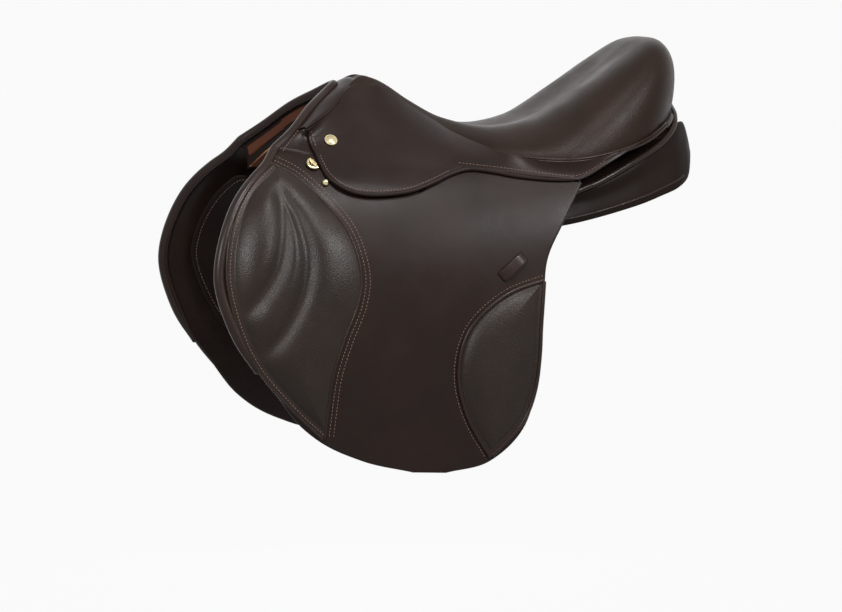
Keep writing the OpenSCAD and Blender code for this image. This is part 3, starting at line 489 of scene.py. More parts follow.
def leather(name, low, high, grain, depth, rough, gloss):
    """Leather with grain cells of a given size, mottled colour darkened by painted shade in the crevices
    between the cells, and uneven polish.
    """
    n = Nodes(name)
    mottle = n.noise(MOTTLE_SCALE, 4)
    pores = n.cells(1 / (grain * MM))
    fine_grain = n.noise(FINE_GRAIN / (grain * MM), 2)
    # The colour darkens from each grain cell's middle to its border: painted shade in the crevices between
    # the pebbles.
    tone = combine(n.tree, "MULTIPLY", n.spread(mottle, 0.15, 1.0), n.spread(pores, 1.0, 0.55, 0.1, 0.8))
    colour = n.tint(tone, low, high)
    polish = n.spread(n.noise(POLISH_SCALE, 3), rough - 0.05, rough + 0.07)
    normal = n.bump(fine_grain, depth * 0.5 * MM)
    normal = n.bump(n.spread(pores, 1.0, 0.0, 0.0, 0.9), depth * MM, normal)
    normal = n.bump(n.noise(WAVE_SCALE, 2), WAVE_DEPTH * MM, normal)
    return n.finish(colour, polish, normal, Specular_IOR_Level=gloss)


# Noise scales of metal's wear, scratches and pits, and the pits' depth
WEAR_SCALE, SCRATCH_SCALE, PIT_SCALE, PIT_DEPTH = 120, 260, 500, 0.02
WORN_SHADE = 0.75


def metal(name, colour, rough, scratch):
    """Polished metal with worn and scratched places."""
    n = Nodes(name)
    wear = n.noise(WEAR_SCALE, 5)
    tone = n.tint(n.spread(wear, 0, 1), tuple(c * WORN_SHADE for c in colour), colour)
    polish = n.spread(n.noise(SCRATCH_SCALE, 4), rough, rough + scratch)
    return n.finish(tone, polish, n.bump(n.noise(PIT_SCALE, 3), PIT_DEPTH * MM), Metallic=1.0)


def plain(name, low, high, scale, depth, rough, stretch=None):
    """Wood or thread: a two-tone noise with its own relief."""
    n = Nodes(name)
    if stretch is not None:
        mapping = n.add("ShaderNodeMapping")
        mapping.inputs["Scale"].default_value = stretch
        n.link(n.place, mapping.inputs["Vector"])
        n.place = mapping.outputs["Vector"]
    grain = n.noise(scale, 5)
    return n.finish(n.tint(n.spread(grain, 0, 1), low, high), n.spread(grain, rough, rough - 0.1),
                    n.bump(grain, depth * MM), Specular_IOR_Level=0.3)


# Wave texture's scale for ribs one unit apart, and the ribs' depth
RIB_SCALE, RIB_DEPTH = 0.31, 0.3


def web(name, low, high, pitch):
    """Woven web: crossed waves as ribs."""
    n = Nodes(name)
    waves = []
    for direction in ("X", "Y"):
        wave = n.add("ShaderNodeTexWave", wave_type="BANDS", bands_direction=direction)
        n.link(n.place, wave.inputs["Vector"])
        wave.inputs["Scale"].default_value = RIB_SCALE / (pitch * MM)
        waves.append(wave.outputs["Fac"])
    weave = combine(n.tree, "MULTIPLY", *waves)
    return n.finish(n.tint(weave, low, high), n.spread(weave, 0.9, 0.75), n.bump(weave, RIB_DEPTH * MM),
                    Specular_IOR_Level=0.2)


# Leathers: darkest and lightest colour, grain's size and depth, roughness and specular level
SMOOTH = leather("smooth_leather", srgb(25, 17, 14), srgb(37, 26, 22), 0.7, 0.06, 0.33, 0.12)
GRAIN = leather("grain_leather", srgb(25, 17, 13), srgb(38, 28, 22), 1.5, 0.2, 0.38, 0.2)
SEAT_GRAIN = leather("seat_leather", srgb(27, 19, 15), srgb(39, 27, 22), 1.4, 0.2, 0.38, 0.1)
PANEL = leather("panel_leather", srgb(20, 14, 12), srgb(30, 22, 18), 0.8, 0.06, 0.42, 0.06)
TAN = leather("tan_leather", srgb(56, 32, 23), srgb(96, 56, 40), 0.7, 0.08, 0.60, 0.1)
EDGE = leather("edge_leather", srgb(30, 21, 18), srgb(44, 32, 27), 0.6, 0.03, 0.28, 0.16)
# Others: colours, scale or pitch of the pattern, depth and roughness; for metals, roughness and its spread
THREAD = plain("thread", srgb(92, 70, 60), srgb(138, 110, 97), 900, 0.05, 0.75)
BRASS = metal("brass", srgb(212, 196, 156), 0.16, 0.12)
STEEL = metal("steel", srgb(190, 191, 193), 0.24, 0.16)
BEECH = plain("beech", srgb(150, 108, 68), srgb(205, 165, 118), 60, 0.15, 0.7, (1, 8, 8))
WEBBING = web("webbing", srgb(150, 142, 120), srgb(214, 206, 184), 1.2)


# Seat

SEAT_FRONT = [[-POMMEL_REACH + 2.2, 0, POMMEL_Z - 2], [-POMMEL_REACH - 4, TWIST_HALF_W * 0.7, POMMEL_Z - 6]]
SEAT_SIDE = np.concatenate([
    SEAT_FRONT, SEAM[2:] - (0, WELT_R + 0.7, 0),
    [[CANTLE_REACH - 7, SEAT_HALF_W - 86, CANTLE_Z - 91], [CANTLE_REACH - 2, 0, CANTLE_Z - 82]]])
SEAT_EDGE = np.concatenate([SEAT_SIDE, SEAT_SIDE[-2:0:-1] * (1, -1, 1)])
SEAT_LINE = [
    [-POMMEL_REACH - 10, POMMEL_Z - 2], [-POMMEL_REACH, POMMEL_Z], [-POMMEL_REACH + 34, POMMEL_Z - 11],
    [-POMMEL_REACH + 69, POMMEL_Z - 34], [-POMMEL_REACH + 104, lerp(SEAT_LOW_Z, POMMEL_Z, 0.16)],
    [0, SEAT_LOW_Z], [54, SEAT_LOW_Z + 9], [CANTLE_REACH - 150, lerp(SEAT_LOW_Z, CANTLE_Z, 0.24)],
    [CANTLE_REACH - 116, lerp(SEAT_LOW_Z, CANTLE_Z, 0.46)],
    [CANTLE_REACH - 88, lerp(SEAT_LOW_Z, CANTLE_Z, 0.69)],
    [CANTLE_REACH - 63, lerp(SEAT_LOW_Z, CANTLE_Z, 0.9)], [CANTLE_REACH - 45, CANTLE_Z - 4.5],
    [CANTLE_REACH - 28, CANTLE_Z - 5], [CANTLE_REACH, CANTLE_Z - 9]]
SPINE_FRONT, SPINE_REAR = -POMMEL_REACH + 36, CANTLE_REACH - 108
# Power and root of the seat's roundness at its sides and at its rear, and where the rear begins
DOME_POWER, DOME_ROOT = (3.2, 6.5), (0.58, 0.45)
REAR_FROM, REAR_RUN = 40, CANTLE_REACH - 60
LEAN_FROM, LEAN_RUN = CANTLE_REACH - 148, 100
SEAT_SPOTS, SEAT_RINGS, SEAT_CROWD = 176, 44, 2.2
UNDER_SHARES = (0.0, 0.18, 0.48, 0.72, 0.87, 0.95)
TUCK_DROP, TUCK_SHARE = 5, 0.97


def seat_points(edge, r, inset):
    """Seat surface at a share r of the way from its spine to its edge."""
    spine = np.stack([np.clip(edge[:, 0], SPINE_FRONT, SPINE_REAR), np.zeros(len(edge))], axis=1)
    out = edge[:, :2] - spine
    p = spine + out * (1 - inset / np.maximum(np.linalg.norm(out, axis=1), 1))[:, None] * r
    top = at(SEAT_LINE, p[:, 0])[:, 1] + SEAT_DISH * (1 - math.cos(2 * math.pi * r)) / 2 - inset
    s = smooth((edge[:, 0] - REAR_FROM) / REAR_RUN)
    dome = np.maximum(0, 1 - r ** lerp(*DOME_POWER, s)) ** lerp(*DOME_ROOT, s)
    z = edge[:, 2] + (top - edge[:, 2]) * dome
    foot = lerp(SEAT_LOW_Z, edge[:, 2], r)
    lean = CANTLE_LEAN * (z - foot) * smooth((p[:, 0] - LEAN_FROM) / LEAN_RUN)
    return np.stack([p[:, 0] + lean, p[:, 1], z], axis=1)


def seat():
    edge = curve(SEAT_EDGE, np.arange(SEAT_SPOTS) / SEAT_SPOTS, closed=True)
    tuck = (edge - (0, 0, TUCK_DROP)) * (1, TUCK_SHARE, 1)
    tops = [seat_points(edge, 1 - w ** SEAT_CROWD, 0) for w in np.linspace(0, 1, SEAT_RINGS)]
    unders = [seat_points(edge, r, FOAM_IN) for r in UNDER_SHARES]
    rings = np.array(unders + [tuck] + tops)
    faces = grid_faces(len(rings), SEAT_SPOTS, wrap=True)
    obj = tidy(make("seat_leather_cover", rings, faces, SEAT_GRAIN), angle=75)
    settle(obj, "saddle", "grain_leather", "seat_cover", "seat_foam")


def beside_seat(t, d, dz):
    """Line beside the seat's edge, d outwards and dz up."""
    e = curve(SEAT_EDGE, t, closed=True)
    out = np.stack([e[:, 0] - np.clip(e[:, 0], SPINE_FRONT, SPINE_REAR), e[:, 1], np.zeros(len(e))], axis=1)
    return e + d * unit(out) + (0, 0, dz)


# Where the welt begins and ends, counted in points of the seat's edge
WELT_FRONT, WELT_REAR = 2.3, 13.15
# Cords of the welt: gap to the seat's edge, height and radius
WELT_CORDS = ((0.4, 1.4, 1.7), (2.6, -1.2, 1.5))
WELT_SIDES = 10
BINDING_R, BINDING_OUT, BINDING_Z = 3.4, 2.6, -2
# Facing behind the cantle: distance from the seat's edge and height of each row
BACK_ROWS = ((2, 3), (2.5, -4), (1, -12), (-3, -20), (-9, -28), (-16, -36))
BACK_IN, BACK_FORWARD = -14, (6, 0, 0)


def seat_trim():
    """Double welt under the seat's edge and the binding behind the cantle."""
    t = np.linspace(WELT_FRONT, WELT_REAR, 150) / len(SEAT_EDGE)
    for k, (gap, low, r) in enumerate(WELT_CORDS):
        points = []
        faces = []
        for s in (1, -1):
            rings = tube_points(beside_seat(t, r + gap, low) * (1, s, 1), r, WELT_SIDES)
            faces += grid_faces(len(rings), WELT_SIDES, len(points) * WELT_SIDES, wrap=True)
            points += list(rings)
        obj = tidy(make(f"seat_welt_cord_{k + 1}", np.array(points), faces, EDGE), angle=70)
        settle(obj, "saddle", "smooth_leather", *(["seat_welt"] if k == 0 else []))
    start = WELT_REAR / len(SEAT_EDGE)
    share = np.linspace(start, 1 - start, 90)
    obj = tube("cantle_binding_cord", beside_seat(share, BINDING_OUT, BINDING_Z), BINDING_R, EDGE, sides=14)
    settle(obj, "saddle", "smooth_leather", "cantle_binding")
    wall = np.array([beside_seat(share, d, dz) for d, dz in BACK_ROWS])
    inner = np.array([beside_seat(share, BACK_IN, dz) for d, dz in BACK_ROWS]) - BACK_FORWARD
    obj = slab("cantle_back_facing", wall, inner, SMOOTH)
    settle(obj, "saddle", "smooth_leather")


# Pommel

ROLL_PATH = np.array([
    [-270, 86, 65.4], [-245, 71, 84], [-POMMEL_REACH - 62, 45, POMMEL_Z - 36],
    [-POMMEL_REACH - 38, 20, POMMEL_Z - 20], [-POMMEL_REACH - 21, 0, POMMEL_Z - 9]])
FACING_REAR = np.array([
    [-CORNER_REACH - 13, 85, CORNER_Z - 13], [-CORNER_REACH + 4, 84, CORNER_Z + 3],
    [-POMMEL_REACH - 33.5, TWIST_HALF_W + 26, POMMEL_Z - 32],
    [-POMMEL_REACH - 8.5, TWIST_HALF_W + 1, POMMEL_Z - 11.5],
    [-POMMEL_REACH + 2, 0, POMMEL_Z - 2.4]])
HEAD_PATH = np.array([[-248, 90, 36], [-226, 69, 60], [-197, 42, 87], [-176, 19, 102], [-169, 0, 106]])
POMMEL_ROLL_R = 5.7
FACING_R, FACING_SIDES = 4.4, 24
FACING_RUN_OUT, FACING_BACK = 0.03, (2, 0, 0)
HEAD_SHIFT = (13.5, 0, 6)
APRON_SAG, APRON_T, BAND_T = 4, (2, 0, 0), (2.2, 0, 0)
SAG_WAY = (0.7, 0, -0.7)
APRON_ROWS, APRON_COLUMNS = 15, 160
# Bands of tan leather on the apron: rows and columns that each covers, and its lift
POCKET_BANDS = ((4, 9, 4, 36, 3.0), (3, 8, 34, 58, 1.8))
# Share of each half of the roll that the gusset joins; the facing joins the rest
ROLL_SHARE = 0.3
WAY_STEP = 0.01


def both(path):
    """A right half's path, carried on over the middle to the left."""
    return np.concatenate([path, path[-2::-1] * (1, -1, 1)])


def between(a, b, sag, count, toward):
    """Rows of points from one line to another, sagging towards a direction in the middle."""
    u = np.linspace(0, 1, count)[:, None, None]
    return lerp(a[None], b[None], u) + 4 * u * (1 - u) * sag * np.asarray(toward, float)


def pommel():
    """Roll over the pommel's front edge, facing band behind it and the apron over the head arch."""
    roll = both(ROLL_PATH)
    obj = tube("pommel_roll_cord", fine(roll, 160), POMMEL_ROLL_R, EDGE, sides=18)
    settle(obj, "saddle", "smooth_leather", "pommel_roll")
    start = ROLL_SHARE / 2 - FACING_RUN_OUT
    t = np.linspace(start, 1 - start, 130)
    front, rear = curve(roll, t), curve(both(FACING_REAR), t)
    way = curve(roll, t + WAY_STEP) - curve(roll, t - WAY_STEP)
    up = FACING_R * unit(np.stack([np.zeros(len(t)), way[:, 2], -way[:, 1]], axis=1))
    turn = turns(FACING_SIDES)[None, :, None]
    middle, half = (front + rear) / 2 + FACING_BACK, (rear - front) / 2 - FACING_BACK
    rings = middle[:, None] + np.cos(turn) * half[:, None] + np.sin(turn) * up[:, None]
    obj = tidy(make("pommel_facing_band", rings, tube_faces(len(t), FACING_SIDES), SMOOTH), angle=60)
    settle(obj, "saddle", "smooth_leather", "pommel_facing")
    head = fine(both(HEAD_PATH), APRON_COLUMNS) - HEAD_SHIFT
    apron = between(fine(roll, APRON_COLUMNS), head, APRON_SAG, APRON_ROWS, SAG_WAY)
    obj = slab("head_apron", apron, apron + APRON_T, PANEL)
    settle(obj, "saddle", "panel_leather")
    for k, (low, high, first, last, lift) in enumerate(POCKET_BANDS):
        band = apron[low:high, first:last] - (lift, 0, 0)
        for name, side in SIDES.items():
            obj = slab(f"pocket_band_{k + 1}_{name}", band, band + BAND_T, TAN, side)
            settle(obj, "saddle", "tan_leather")


# Skirts

SKIRT_LINE = [
    [-235, 90], [-231, 80], [-228, 68], [-225, 56], [-222.5, 45], [-217, 31], [-205, 19], [-185, 10.5],
    [-158, 8], [-122, 11], [-93, 20], [-66, 31], [-44, 36], [-20, 33.5], [12, 27.5], [50, 23.5], [80, 23.5],
    [98, 29], [124, 44], [160, 62], [200, 81]]
# Bead and groove along the edge: height or depth, distance from the edge and width
BEAD_H, BEAD_AT, BEAD_W = 0.8, 1.9, 1.3
GROOVE_H, GROOVE_AT, GROOVE_W = 0.5, 4.0, 0.8
STITCH_IN = 5.4
FOLD_CLEAR = 4.2
CURL, CURL_DEPTH, CURL_FRONT, CURL_RUN = 3.0, 36, -222, 16
PIPING_R, PIPING_OUT = 1.5, (0, 0.8, 0.8)


def curl(p):
    """Lift of the skirt's lobe away from the flap towards its edge, but not beside the dee in front."""
    depth = hinge_z(p[..., 0]) - p[..., 1]
    return CURL * smooth(depth / CURL_DEPTH) * smooth((p[..., 0] - CURL_FRONT) / CURL_RUN)


def skirt_lift(p, edge):
    """Outer and inner lift of the skirt: a round edge with a bead and a groove beside the stitches."""
    d = far_from(p, edge)
    half = SKIRT_T / 2 * rounding(d, SKIRT_T / 2)
    bead = BEAD_H * np.exp(-((d - BEAD_AT) / BEAD_W) ** 2)
    groove = GROOVE_H * np.exp(-((d - GROOVE_AT) / GROOVE_W) ** 2)
    mid = SKIRT_IN + SKIRT_T / 2 + curl(p)
    return mid + half + bead - groove, mid - half


def skirts():
    line = fine(SKIRT_LINE, 520)
    under = line[:, 1] < hinge_z(line[:, 0])
    first, last = np.flatnonzero(under)[0], np.flatnonzero(under)[-1]
    a = np.array([line[first, 0], hinge_z(line[first, 0])])
    b = np.array([line[last, 0], hinge_z(line[last, 0])])
    fold = a + (b - a) * np.linspace(0, 1, 150)[:, None]
    front_edge = np.concatenate([line[:first], [a]])
    rear_edge = np.concatenate([[b], line[last + 1:]])
    top = fine(SEAM[:, [0, 2]], 220)
    low = along(np.concatenate([front_edge, fold[1:-1], rear_edge]), count=220)
    rows = lerp(top[None], low[None], crowd_end(46)[:, None, None])
    front, rear = skirt_lift(rows, front_edge), skirt_lift(rows, rear_edge)
    fixed_out, fixed_in = np.minimum(front[0], rear[0]), np.maximum(front[1], rear[1])
    edge = np.concatenate([[a], line[first:last + 1], [b]])
    fold, edge_spots = along(fold, count=200), along(edge, count=200)
    lobe_rows = lerp(fold[None], edge_spots[None], crowd_end(40)[:, None, None])
    lobe_out, lobe_in = skirt_lift(lobe_rows, edge)
    row = offset(line, STITCH_IN)
    row = row[row[:, 1] < at(SEAM, row[:, 0])[:, 2] - STITCH_IN]
    above = row[:, 1] - hinge_z(row[:, 0])
    sewn = np.flatnonzero(above < -FOLD_CLEAR)
    first, last = sewn[0], sewn[-1]
    rear_row = row[last:][above[last:] > 0]
    rear_row[:, 1] = np.maximum(rear_row[:, 1], hinge_z(rear_row[:, 0]) + FOLD_CLEAR)
    parts = (("front", row[:first][above[:first] > FOLD_CLEAR], "saddle"),
             ("lobe", row[first:last], "lobe"), ("rear", rear_row, "saddle"))
    piping = fine(SEAM[:5], 120)
    for name, side in SIDES.items():
        cord = tube(f"skirt_front_piping_{name}", piping + PIPING_OUT, PIPING_R, EDGE, side, sides=10)
        settle(cord, "saddle", "smooth_leather")
        obj = sheet(f"skirt_skin_{name}", rows, fixed_out, fixed_in, SMOOTH, side, angle=60)
        settle(obj, "saddle", "smooth_leather", f"skirt_{name}")
        obj = sheet(f"skirt_lobe_skin_{name}", lobe_rows, lobe_out, lobe_in, SMOOTH, side, angle=60)
        settle(obj, f"skirt_{name}", "smooth_leather", f"skirt_lobe_{name}")
        for part, path, body in parts:
            obj = stitched(f"skirt_stitches_{part}_{name}", path, SKIRT_IN + SKIRT_T + curl(path), side)
            settle(obj, f"skirt_{name}" if body == "lobe" else body, "smooth_leather")


# Flaps

FLAP_FRONT = np.array([[-277, 63], [-FLAP_REACH + 28, 11], [-FLAP_REACH + 1, -56], [-FLAP_REACH + 4, -112],
                       [-FLAP_REACH + 41, -190], [-FLAP_REACH + 108, -FLAP_DROP + 50],
                       [-FLAP_REACH + 168, -FLAP_DROP + 18], [-128, -FLAP_DROP + 2]])
FLAP_REAR = np.array([[90, 22], [62, -24], [40, -66], [34, -115], [28, -185], [10, -FLAP_DROP + 54],
                      [-34, -FLAP_DROP + 12], [-88, -FLAP_DROP]])
ROLL_END = 0.6
NOTCH_DEPTH, NOTCH_FRONT, NOTCH_REAR, NOTCH_BLEND = 33, -212, -86, 18
# Strip of the flap above the bending line: height, gap, depth under the skirt, ends and room under the seam
FLAP_TOP_H, FLAP_TOP_GAP, FLAP_TOP_IN = 14, 0.3, 0.5
FLAP_TOP_FRONT, FLAP_TOP_REAR, SEAM_ROOM = -231, 88, 4
FLAP_GAP = 0.2
CATCH_PIVOT, CATCH_AHEAD, CATCH_REACH, CATCH_RISE, CATCH_BLEND = -132.5, 22, 24, 12, 12
# Shares of the flap's height and width over which the notch and the roll's room fade out
NOTCH_FADE, NOTCH_SIDES, ROLL_BLEND = 0.28, 0.12, 0.1
# Roll: most widening on a slant, share of its radius at its tip, where it tapers, and the share it grows over
ROLL_MOST, ROLL_TIP, ROLL_TAPER_FROM, ROLL_SWELL = 1.3, 0.55, 0.5, 0.2
ROLL_SPOTS, ROLL_RINGS, ROLL_SKIP = 120, 150, 8


def roll_wide(v):
    """Width of the roll in x, which grows where the flap's edge slants."""
    d = curve(FLAP_FRONT, v + WAY_STEP) - curve(FLAP_FRONT, v - WAY_STEP)
    slant = np.linalg.norm(d, axis=-1) / np.maximum(np.abs(d[..., 1]), WAY_STEP)
    return ROLL_R * np.minimum(ROLL_MOST, slant)


def notch(x):
    """Depth of the notch for the stirrup bar in the flap's top."""
    return NOTCH_DEPTH * smooth((x - NOTCH_FRONT) / NOTCH_BLEND) * smooth((NOTCH_REAR - x) / NOTCH_BLEND)


def flap_grid():
    """Places of the flap's skin: under the roll in front and notched for the stirrup bar at its top."""
    v = crowd_both(110)[:, None]
    u = crowd_both(110)[None, :]
    room = roll_wide(v) * (1 - smooth((v - ROLL_END) / ROLL_BLEND))
    front = curve(FLAP_FRONT, v) + np.stack([room, np.zeros_like(room)], axis=-1)
    p = lerp(front, curve(FLAP_REAR, v), u[..., None])
    top = hinge_z(p[..., 0]) - FLAP_GAP - notch(p[..., 0])
    inside = smooth(u / NOTCH_SIDES) * smooth((1 - u) / NOTCH_SIDES)
    z = lerp(p[..., 1], lerp(top, p[..., 1], np.clip(v / NOTCH_FADE, 0, 1)), inside)
    return np.stack([p[..., 0], z], axis=-1)


def flap_lift(p):
    """Outer and inner lift of the flap, with a round edge."""
    half = FLAP_T / 2 * rounding(far_from(p, lower_rim(p)), FLAP_T / 2)
    return -FLAP_T / 2 + half, -FLAP_T / 2 - half


def catch_room(x):
    """Height left in the flap's top for the stirrup bar's catch to turn up."""
    front = smooth((x - CATCH_PIVOT + CATCH_AHEAD) / CATCH_BLEND)
    return CATCH_RISE * front * smooth((CATCH_PIVOT + CATCH_REACH + CATCH_BLEND - x) / CATCH_BLEND)


def flaps():
    p = flap_grid()
    out, inn = flap_lift(p)
    v = np.linspace(0.0, ROLL_END, ROLL_SPOTS)
    wide = roll_wide(v)
    centre = curve(FLAP_FRONT, v) + np.stack([wide, np.zeros_like(wide)], axis=1)
    taper = lerp(1.0, ROLL_TIP, smooth((v - ROLL_TAPER_FROM) / (ROLL_END - ROLL_TAPER_FROM)))
    path = on_skin(centre, -FLAP_T / 2)
    path = fine(np.concatenate([ROLL_PATH[:1], path[ROLL_SKIP::ROLL_SKIP]]), ROLL_RINGS)
    radius = taper * lerp(POMMEL_ROLL_R, ROLL_R, smooth(v / ROLL_SWELL))
    radius = np.interp(np.linspace(0, 1, ROLL_RINGS), np.linspace(0, 1, ROLL_SPOTS), radius)
    xs = np.linspace(FLAP_TOP_FRONT, FLAP_TOP_REAR, 90)
    room = catch_room(xs)
    low = hinge_z(xs) + FLAP_TOP_GAP + room
    top = np.minimum(hinge_z(xs) + FLAP_TOP_H + room / 2, at(SEAM, xs)[:, 2] - SEAM_ROOM)
    strip = np.array([np.stack([xs, lerp(low, top, f)], axis=1) for f in np.linspace(0, 1, 4)])
    for name, side in SIDES.items():
        obj = sheet(f"flap_skin_{name}", p, out, inn, SMOOTH, side)
        settle(obj, f"flap_{name}", "smooth_leather", f"flap_{name}")
        obj = tube(f"flap_roll_cord_{name}", path, radius, EDGE, side, sides=18)
        settle(obj, f"flap_{name}", "smooth_leather", f"flap_roll_{name}")
        obj = sheet(f"flap_top_skin_{name}", strip, -FLAP_TOP_IN, -FLAP_TOP_IN - FLAP_T, SMOOTH, side)
        settle(obj, "saddle", "smooth_leather", f"flap_top_{name}")


GUSSET_FOOT, GUSSET_COLUMNS, GUSSET_ROWS = 9, 48, 21
GUSSET_FRONT, GUSSET_REAR, GUSSET_TOP = -226, -230, CORNER_Z + 3
# Start of the gusset before the roll, its shift from the roll's middle and its thickness
GUSSET_START, GUSSET_SHIFT, GUSSET_T = (8, -5, 9), (2, 3, 1), (0, 3, 1)
GUSSET_LIFT, GUSSET_TUCK, GUSSET_SAG, GUSSET_WAY = 0.2, 1.2, 2, (0, 0.7, 0.3)
SEAM_ROW, SEAM_FROM, SEAM_UP = 4, GUSSET_COLUMNS // 5, (-0.3, 0.75, 0.6)
ROLL_COUNT, ROLL_TUCK = 200, 0.8


def gussets():
    """Leather between the pommel's roll and the skirt's front edge, with its foot under the flap's top."""
    roll = fine(ROLL_PATH, ROLL_COUNT)[:int(ROLL_COUNT * ROLL_SHARE)]
    roll = np.concatenate([[roll[0] - GUSSET_START], roll])
    roll = along(roll, count=GUSSET_COLUMNS) + GUSSET_SHIFT
    fold_z = hinge_z(GUSSET_FRONT)
    z = np.linspace(fold_z - GUSSET_FOOT, GUSSET_TOP, GUSSET_COLUMNS)
    edge = np.stack([np.linspace(GUSSET_FRONT, GUSSET_REAR, GUSSET_COLUMNS), z], axis=1)
    tuck = -(FLAP_T + GUSSET_TUCK) * smooth((fold_z + 1 - z) / GUSSET_FOOT)
    roll[:, 1] += tuck * ROLL_TUCK
    top = between(roll, on_skin(edge, GUSSET_LIFT + tuck), GUSSET_SAG, GUSSET_ROWS, GUSSET_WAY)
    seam = top[SEAM_ROW, SEAM_FROM:]
    for name, side in SIDES.items():
        obj = slab(f"pommel_gusset_{name}", top, top - GUSSET_T, SMOOTH, side)
        settle(obj, "saddle", "smooth_leather")
        obj = stitches(f"gusset_stitches_{name}", seam, np.tile(SEAM_UP, (len(seam), 1)), side)
        settle(obj, "saddle", "smooth_leather")


STUD = np.array([[-219, 26]])
STUD_R, STUD_FOOT, STUD_TOP, STUD_RINGS = 4.4, 0.2, 4.6, 12
# Section of the stud's head: how fast it closes, where it is widest and its least share
STUD_CLOSE, STUD_WIDEST, STUD_LEAST = 1.1, 0.35, 0.05


def studs():
    """Round head of the stud on each flap, under the skirt's edge."""
    foot, out = on_skin(STUD, 0)[0], skin_row(STUD)[0]
    path = foot + np.linspace(STUD_FOOT, STUD_TOP, STUD_RINGS)[:, None] * out
    share = STUD_CLOSE * np.linspace(0, 1, STUD_RINGS) - STUD_WIDEST
    radius = STUD_R * np.sqrt(np.clip(1 - share ** 2, STUD_LEAST, 1))
    for name, side in SIDES.items():
        settle(tube(f"stud_head_{name}", path, radius, BRASS, side, sides=20), f"flap_{name}", "brass")


# Pads on the flaps

KNEE_FRONT = fine([
    [-280, 48], [-314, 20], [-334, -17], [-344, -61], [-343, -98], [-330, -147], [-309, -188], [-272, -232],
    [-236, -267]])
KNEE_REAR = fine([
    [-279, 49], [-251, 33], [-221, 2], [-198, -32], [-187, -76], [-192, -112], [-209, -152], [-224, -198],
    [-234, -266]])
KNEE_CUTS = [
    fine([[-278, 36], [-276, 6], [-276, -26], [-283, -63], [-296, -87], [-314, -109], [-332, -124]]),
    fine([[-277, 36], [-272, 10], [-258, -18], [-250, -57], [-258, -101], [-281, -142], [-312, -174]])]
CALF_FRONT = fine([
    [33, -90], [2, -99], [-22, -111], [-46, -130], [-62, -151], [-71, -179], [-72, -209], [-65, -238],
    [-54, -263], [-35, -294]])
CALF_REAR = fine([
    [34, -92], [31.5, -118], [29, -146], [27, -178], [22, -214], [12, -244], [-3, -266], [-32, -293]])
# Each pad: crown, its flange's width and thickness, the run and power of its rise, and its slope at the rear
KNEE_CROWN, KNEE_FLANGE, KNEE_EDGE, KNEE_RISE, KNEE_POWER, KNEE_SLOPE = 12.5, 9, 1.4, 34, 0.8, 0.62
CALF_CROWN, CALF_FLANGE, CALF_EDGE, CALF_RISE, CALF_POWER, CALF_SLOPE = 8, 4.5, 0.8, 22, 0.75, 0.7
CHANNEL_DEPTH, CHANNEL_W, CHANNEL_POWER, CHANNEL_TOP, CHANNEL_FADE = 8.0, 11.0, 1.6, 42, 34
# Lift of the pads' base, and the height above which their leather may swell
PAD_LIFT, PAD_FREE = 0.3, 1.2
# Widths that sewing holds: at a channel, at the rear edge, past a flange, and the blend
SEWN_W, SEWN_REAR, SEWN_PAST, SEWN_BLEND = 5, 5, 3, 4
SWELL_STEPS, SWELL_QUALITY, SWELL_PRESSURE = 20, 6, 4.0
# Beads and bands round the pads: outline, radius and lift
PAD_CORDS = (("knee_front_bead", KNEE_FRONT, 1.7, 1.2), ("knee_rear_bead", KNEE_REAR, 1.7, 0.9),
             ("calf_front_band", CALF_FRONT, 2.7, 0.9), ("calf_rear_band", CALF_REAR, 2.4, 0.6))
# Stitch rows beside them: outline, distance from it and lift
PAD_ROWS = (("knee_front", KNEE_FRONT, 4.2, 1.9), ("knee_rear_1", KNEE_REAR, 5.4, 0.0),
            ("knee_rear_2", KNEE_REAR, 10.6, 0.0), ("calf_front", CALF_FRONT, -5.4, 0.0))


def pad_grid(front, rear, n, m):
    """Grid of n by m places between a pad's two edges."""
    v = crowd_both(n)
    a, b = (np.stack([np.interp(v, np.linspace(0, 1, len(edge)), edge[:, k]) for k in (0, 1)], axis=1)
            for edge in (front, rear))
    return lerp(a[:, None], b[:, None], crowd_both(m)[None, :, None])


def swell(obj, pins, cap):
    """Let a sewn pad swell like stuffed leather, held where pins is 1, and keep the shape."""
    group = obj.vertex_groups.new(name="sewn")
    for i, w in enumerate(pins):
        group.add([i], float(w), "REPLACE")
    cloth = obj.modifiers.new("Swell", "CLOTH")
    cloth.settings.vertex_group_mass = "sewn"
    cloth.settings.use_pressure = True
    cloth.settings.uniform_pressure_force = SWELL_PRESSURE
    cloth.settings.effector_weights.gravity = 0
    cloth.settings.quality = SWELL_QUALITY
    scene = bpy.context.scene
    for step in range(1, SWELL_STEPS + 1):
        scene.frame_set(step)
    moved = obj.evaluated_get(bpy.context.evaluated_depsgraph_get()).to_mesh()
    rest = np.array([v.co for v in obj.data.vertices])
    shift = np.array([v.co for v in moved.vertices]) - rest
    size = np.linalg.norm(shift, axis=1, keepdims=True)
    shift *= np.minimum(1, cap * MM / np.maximum(size, TINY))
    obj.modifiers.remove(cloth)
    obj.vertex_groups.remove(group)
    obj.data.vertices.foreach_set("co", (rest + shift).astype(np.float32).ravel())
    obj.data.update()
    scene.frame_set(1)


def pad(name, side, grid, height, sewn, cap):
    """Closed pad on the flap's outer face, which swells between its sewn lines."""
    obj = sheet(name, grid, PAD_LIFT + height, PAD_LIFT, GRAIN, side, angle=80)
    flat = grid.reshape(-1, 2)
    xyz = np.array([v.co for v in obj.data.vertices]) / MM
    order = [int(np.argmin(np.sum((flat - p) ** 2, axis=1))) for p in xyz[:, [0, 2]]]
    raised = np.abs(xyz[:, 1]) - skin_y(xyz[:, 0], xyz[:, 2]) > PAD_FREE
    swell(obj, np.where(raised, sewn.reshape(-1)[order], 1.0), cap)
    return obj


def pad_rise(border, run, power):
    """Share of a pad's crown at a distance from its flange."""
    return np.sin(np.clip(border / run, 0, 1) * np.pi / 2) ** power


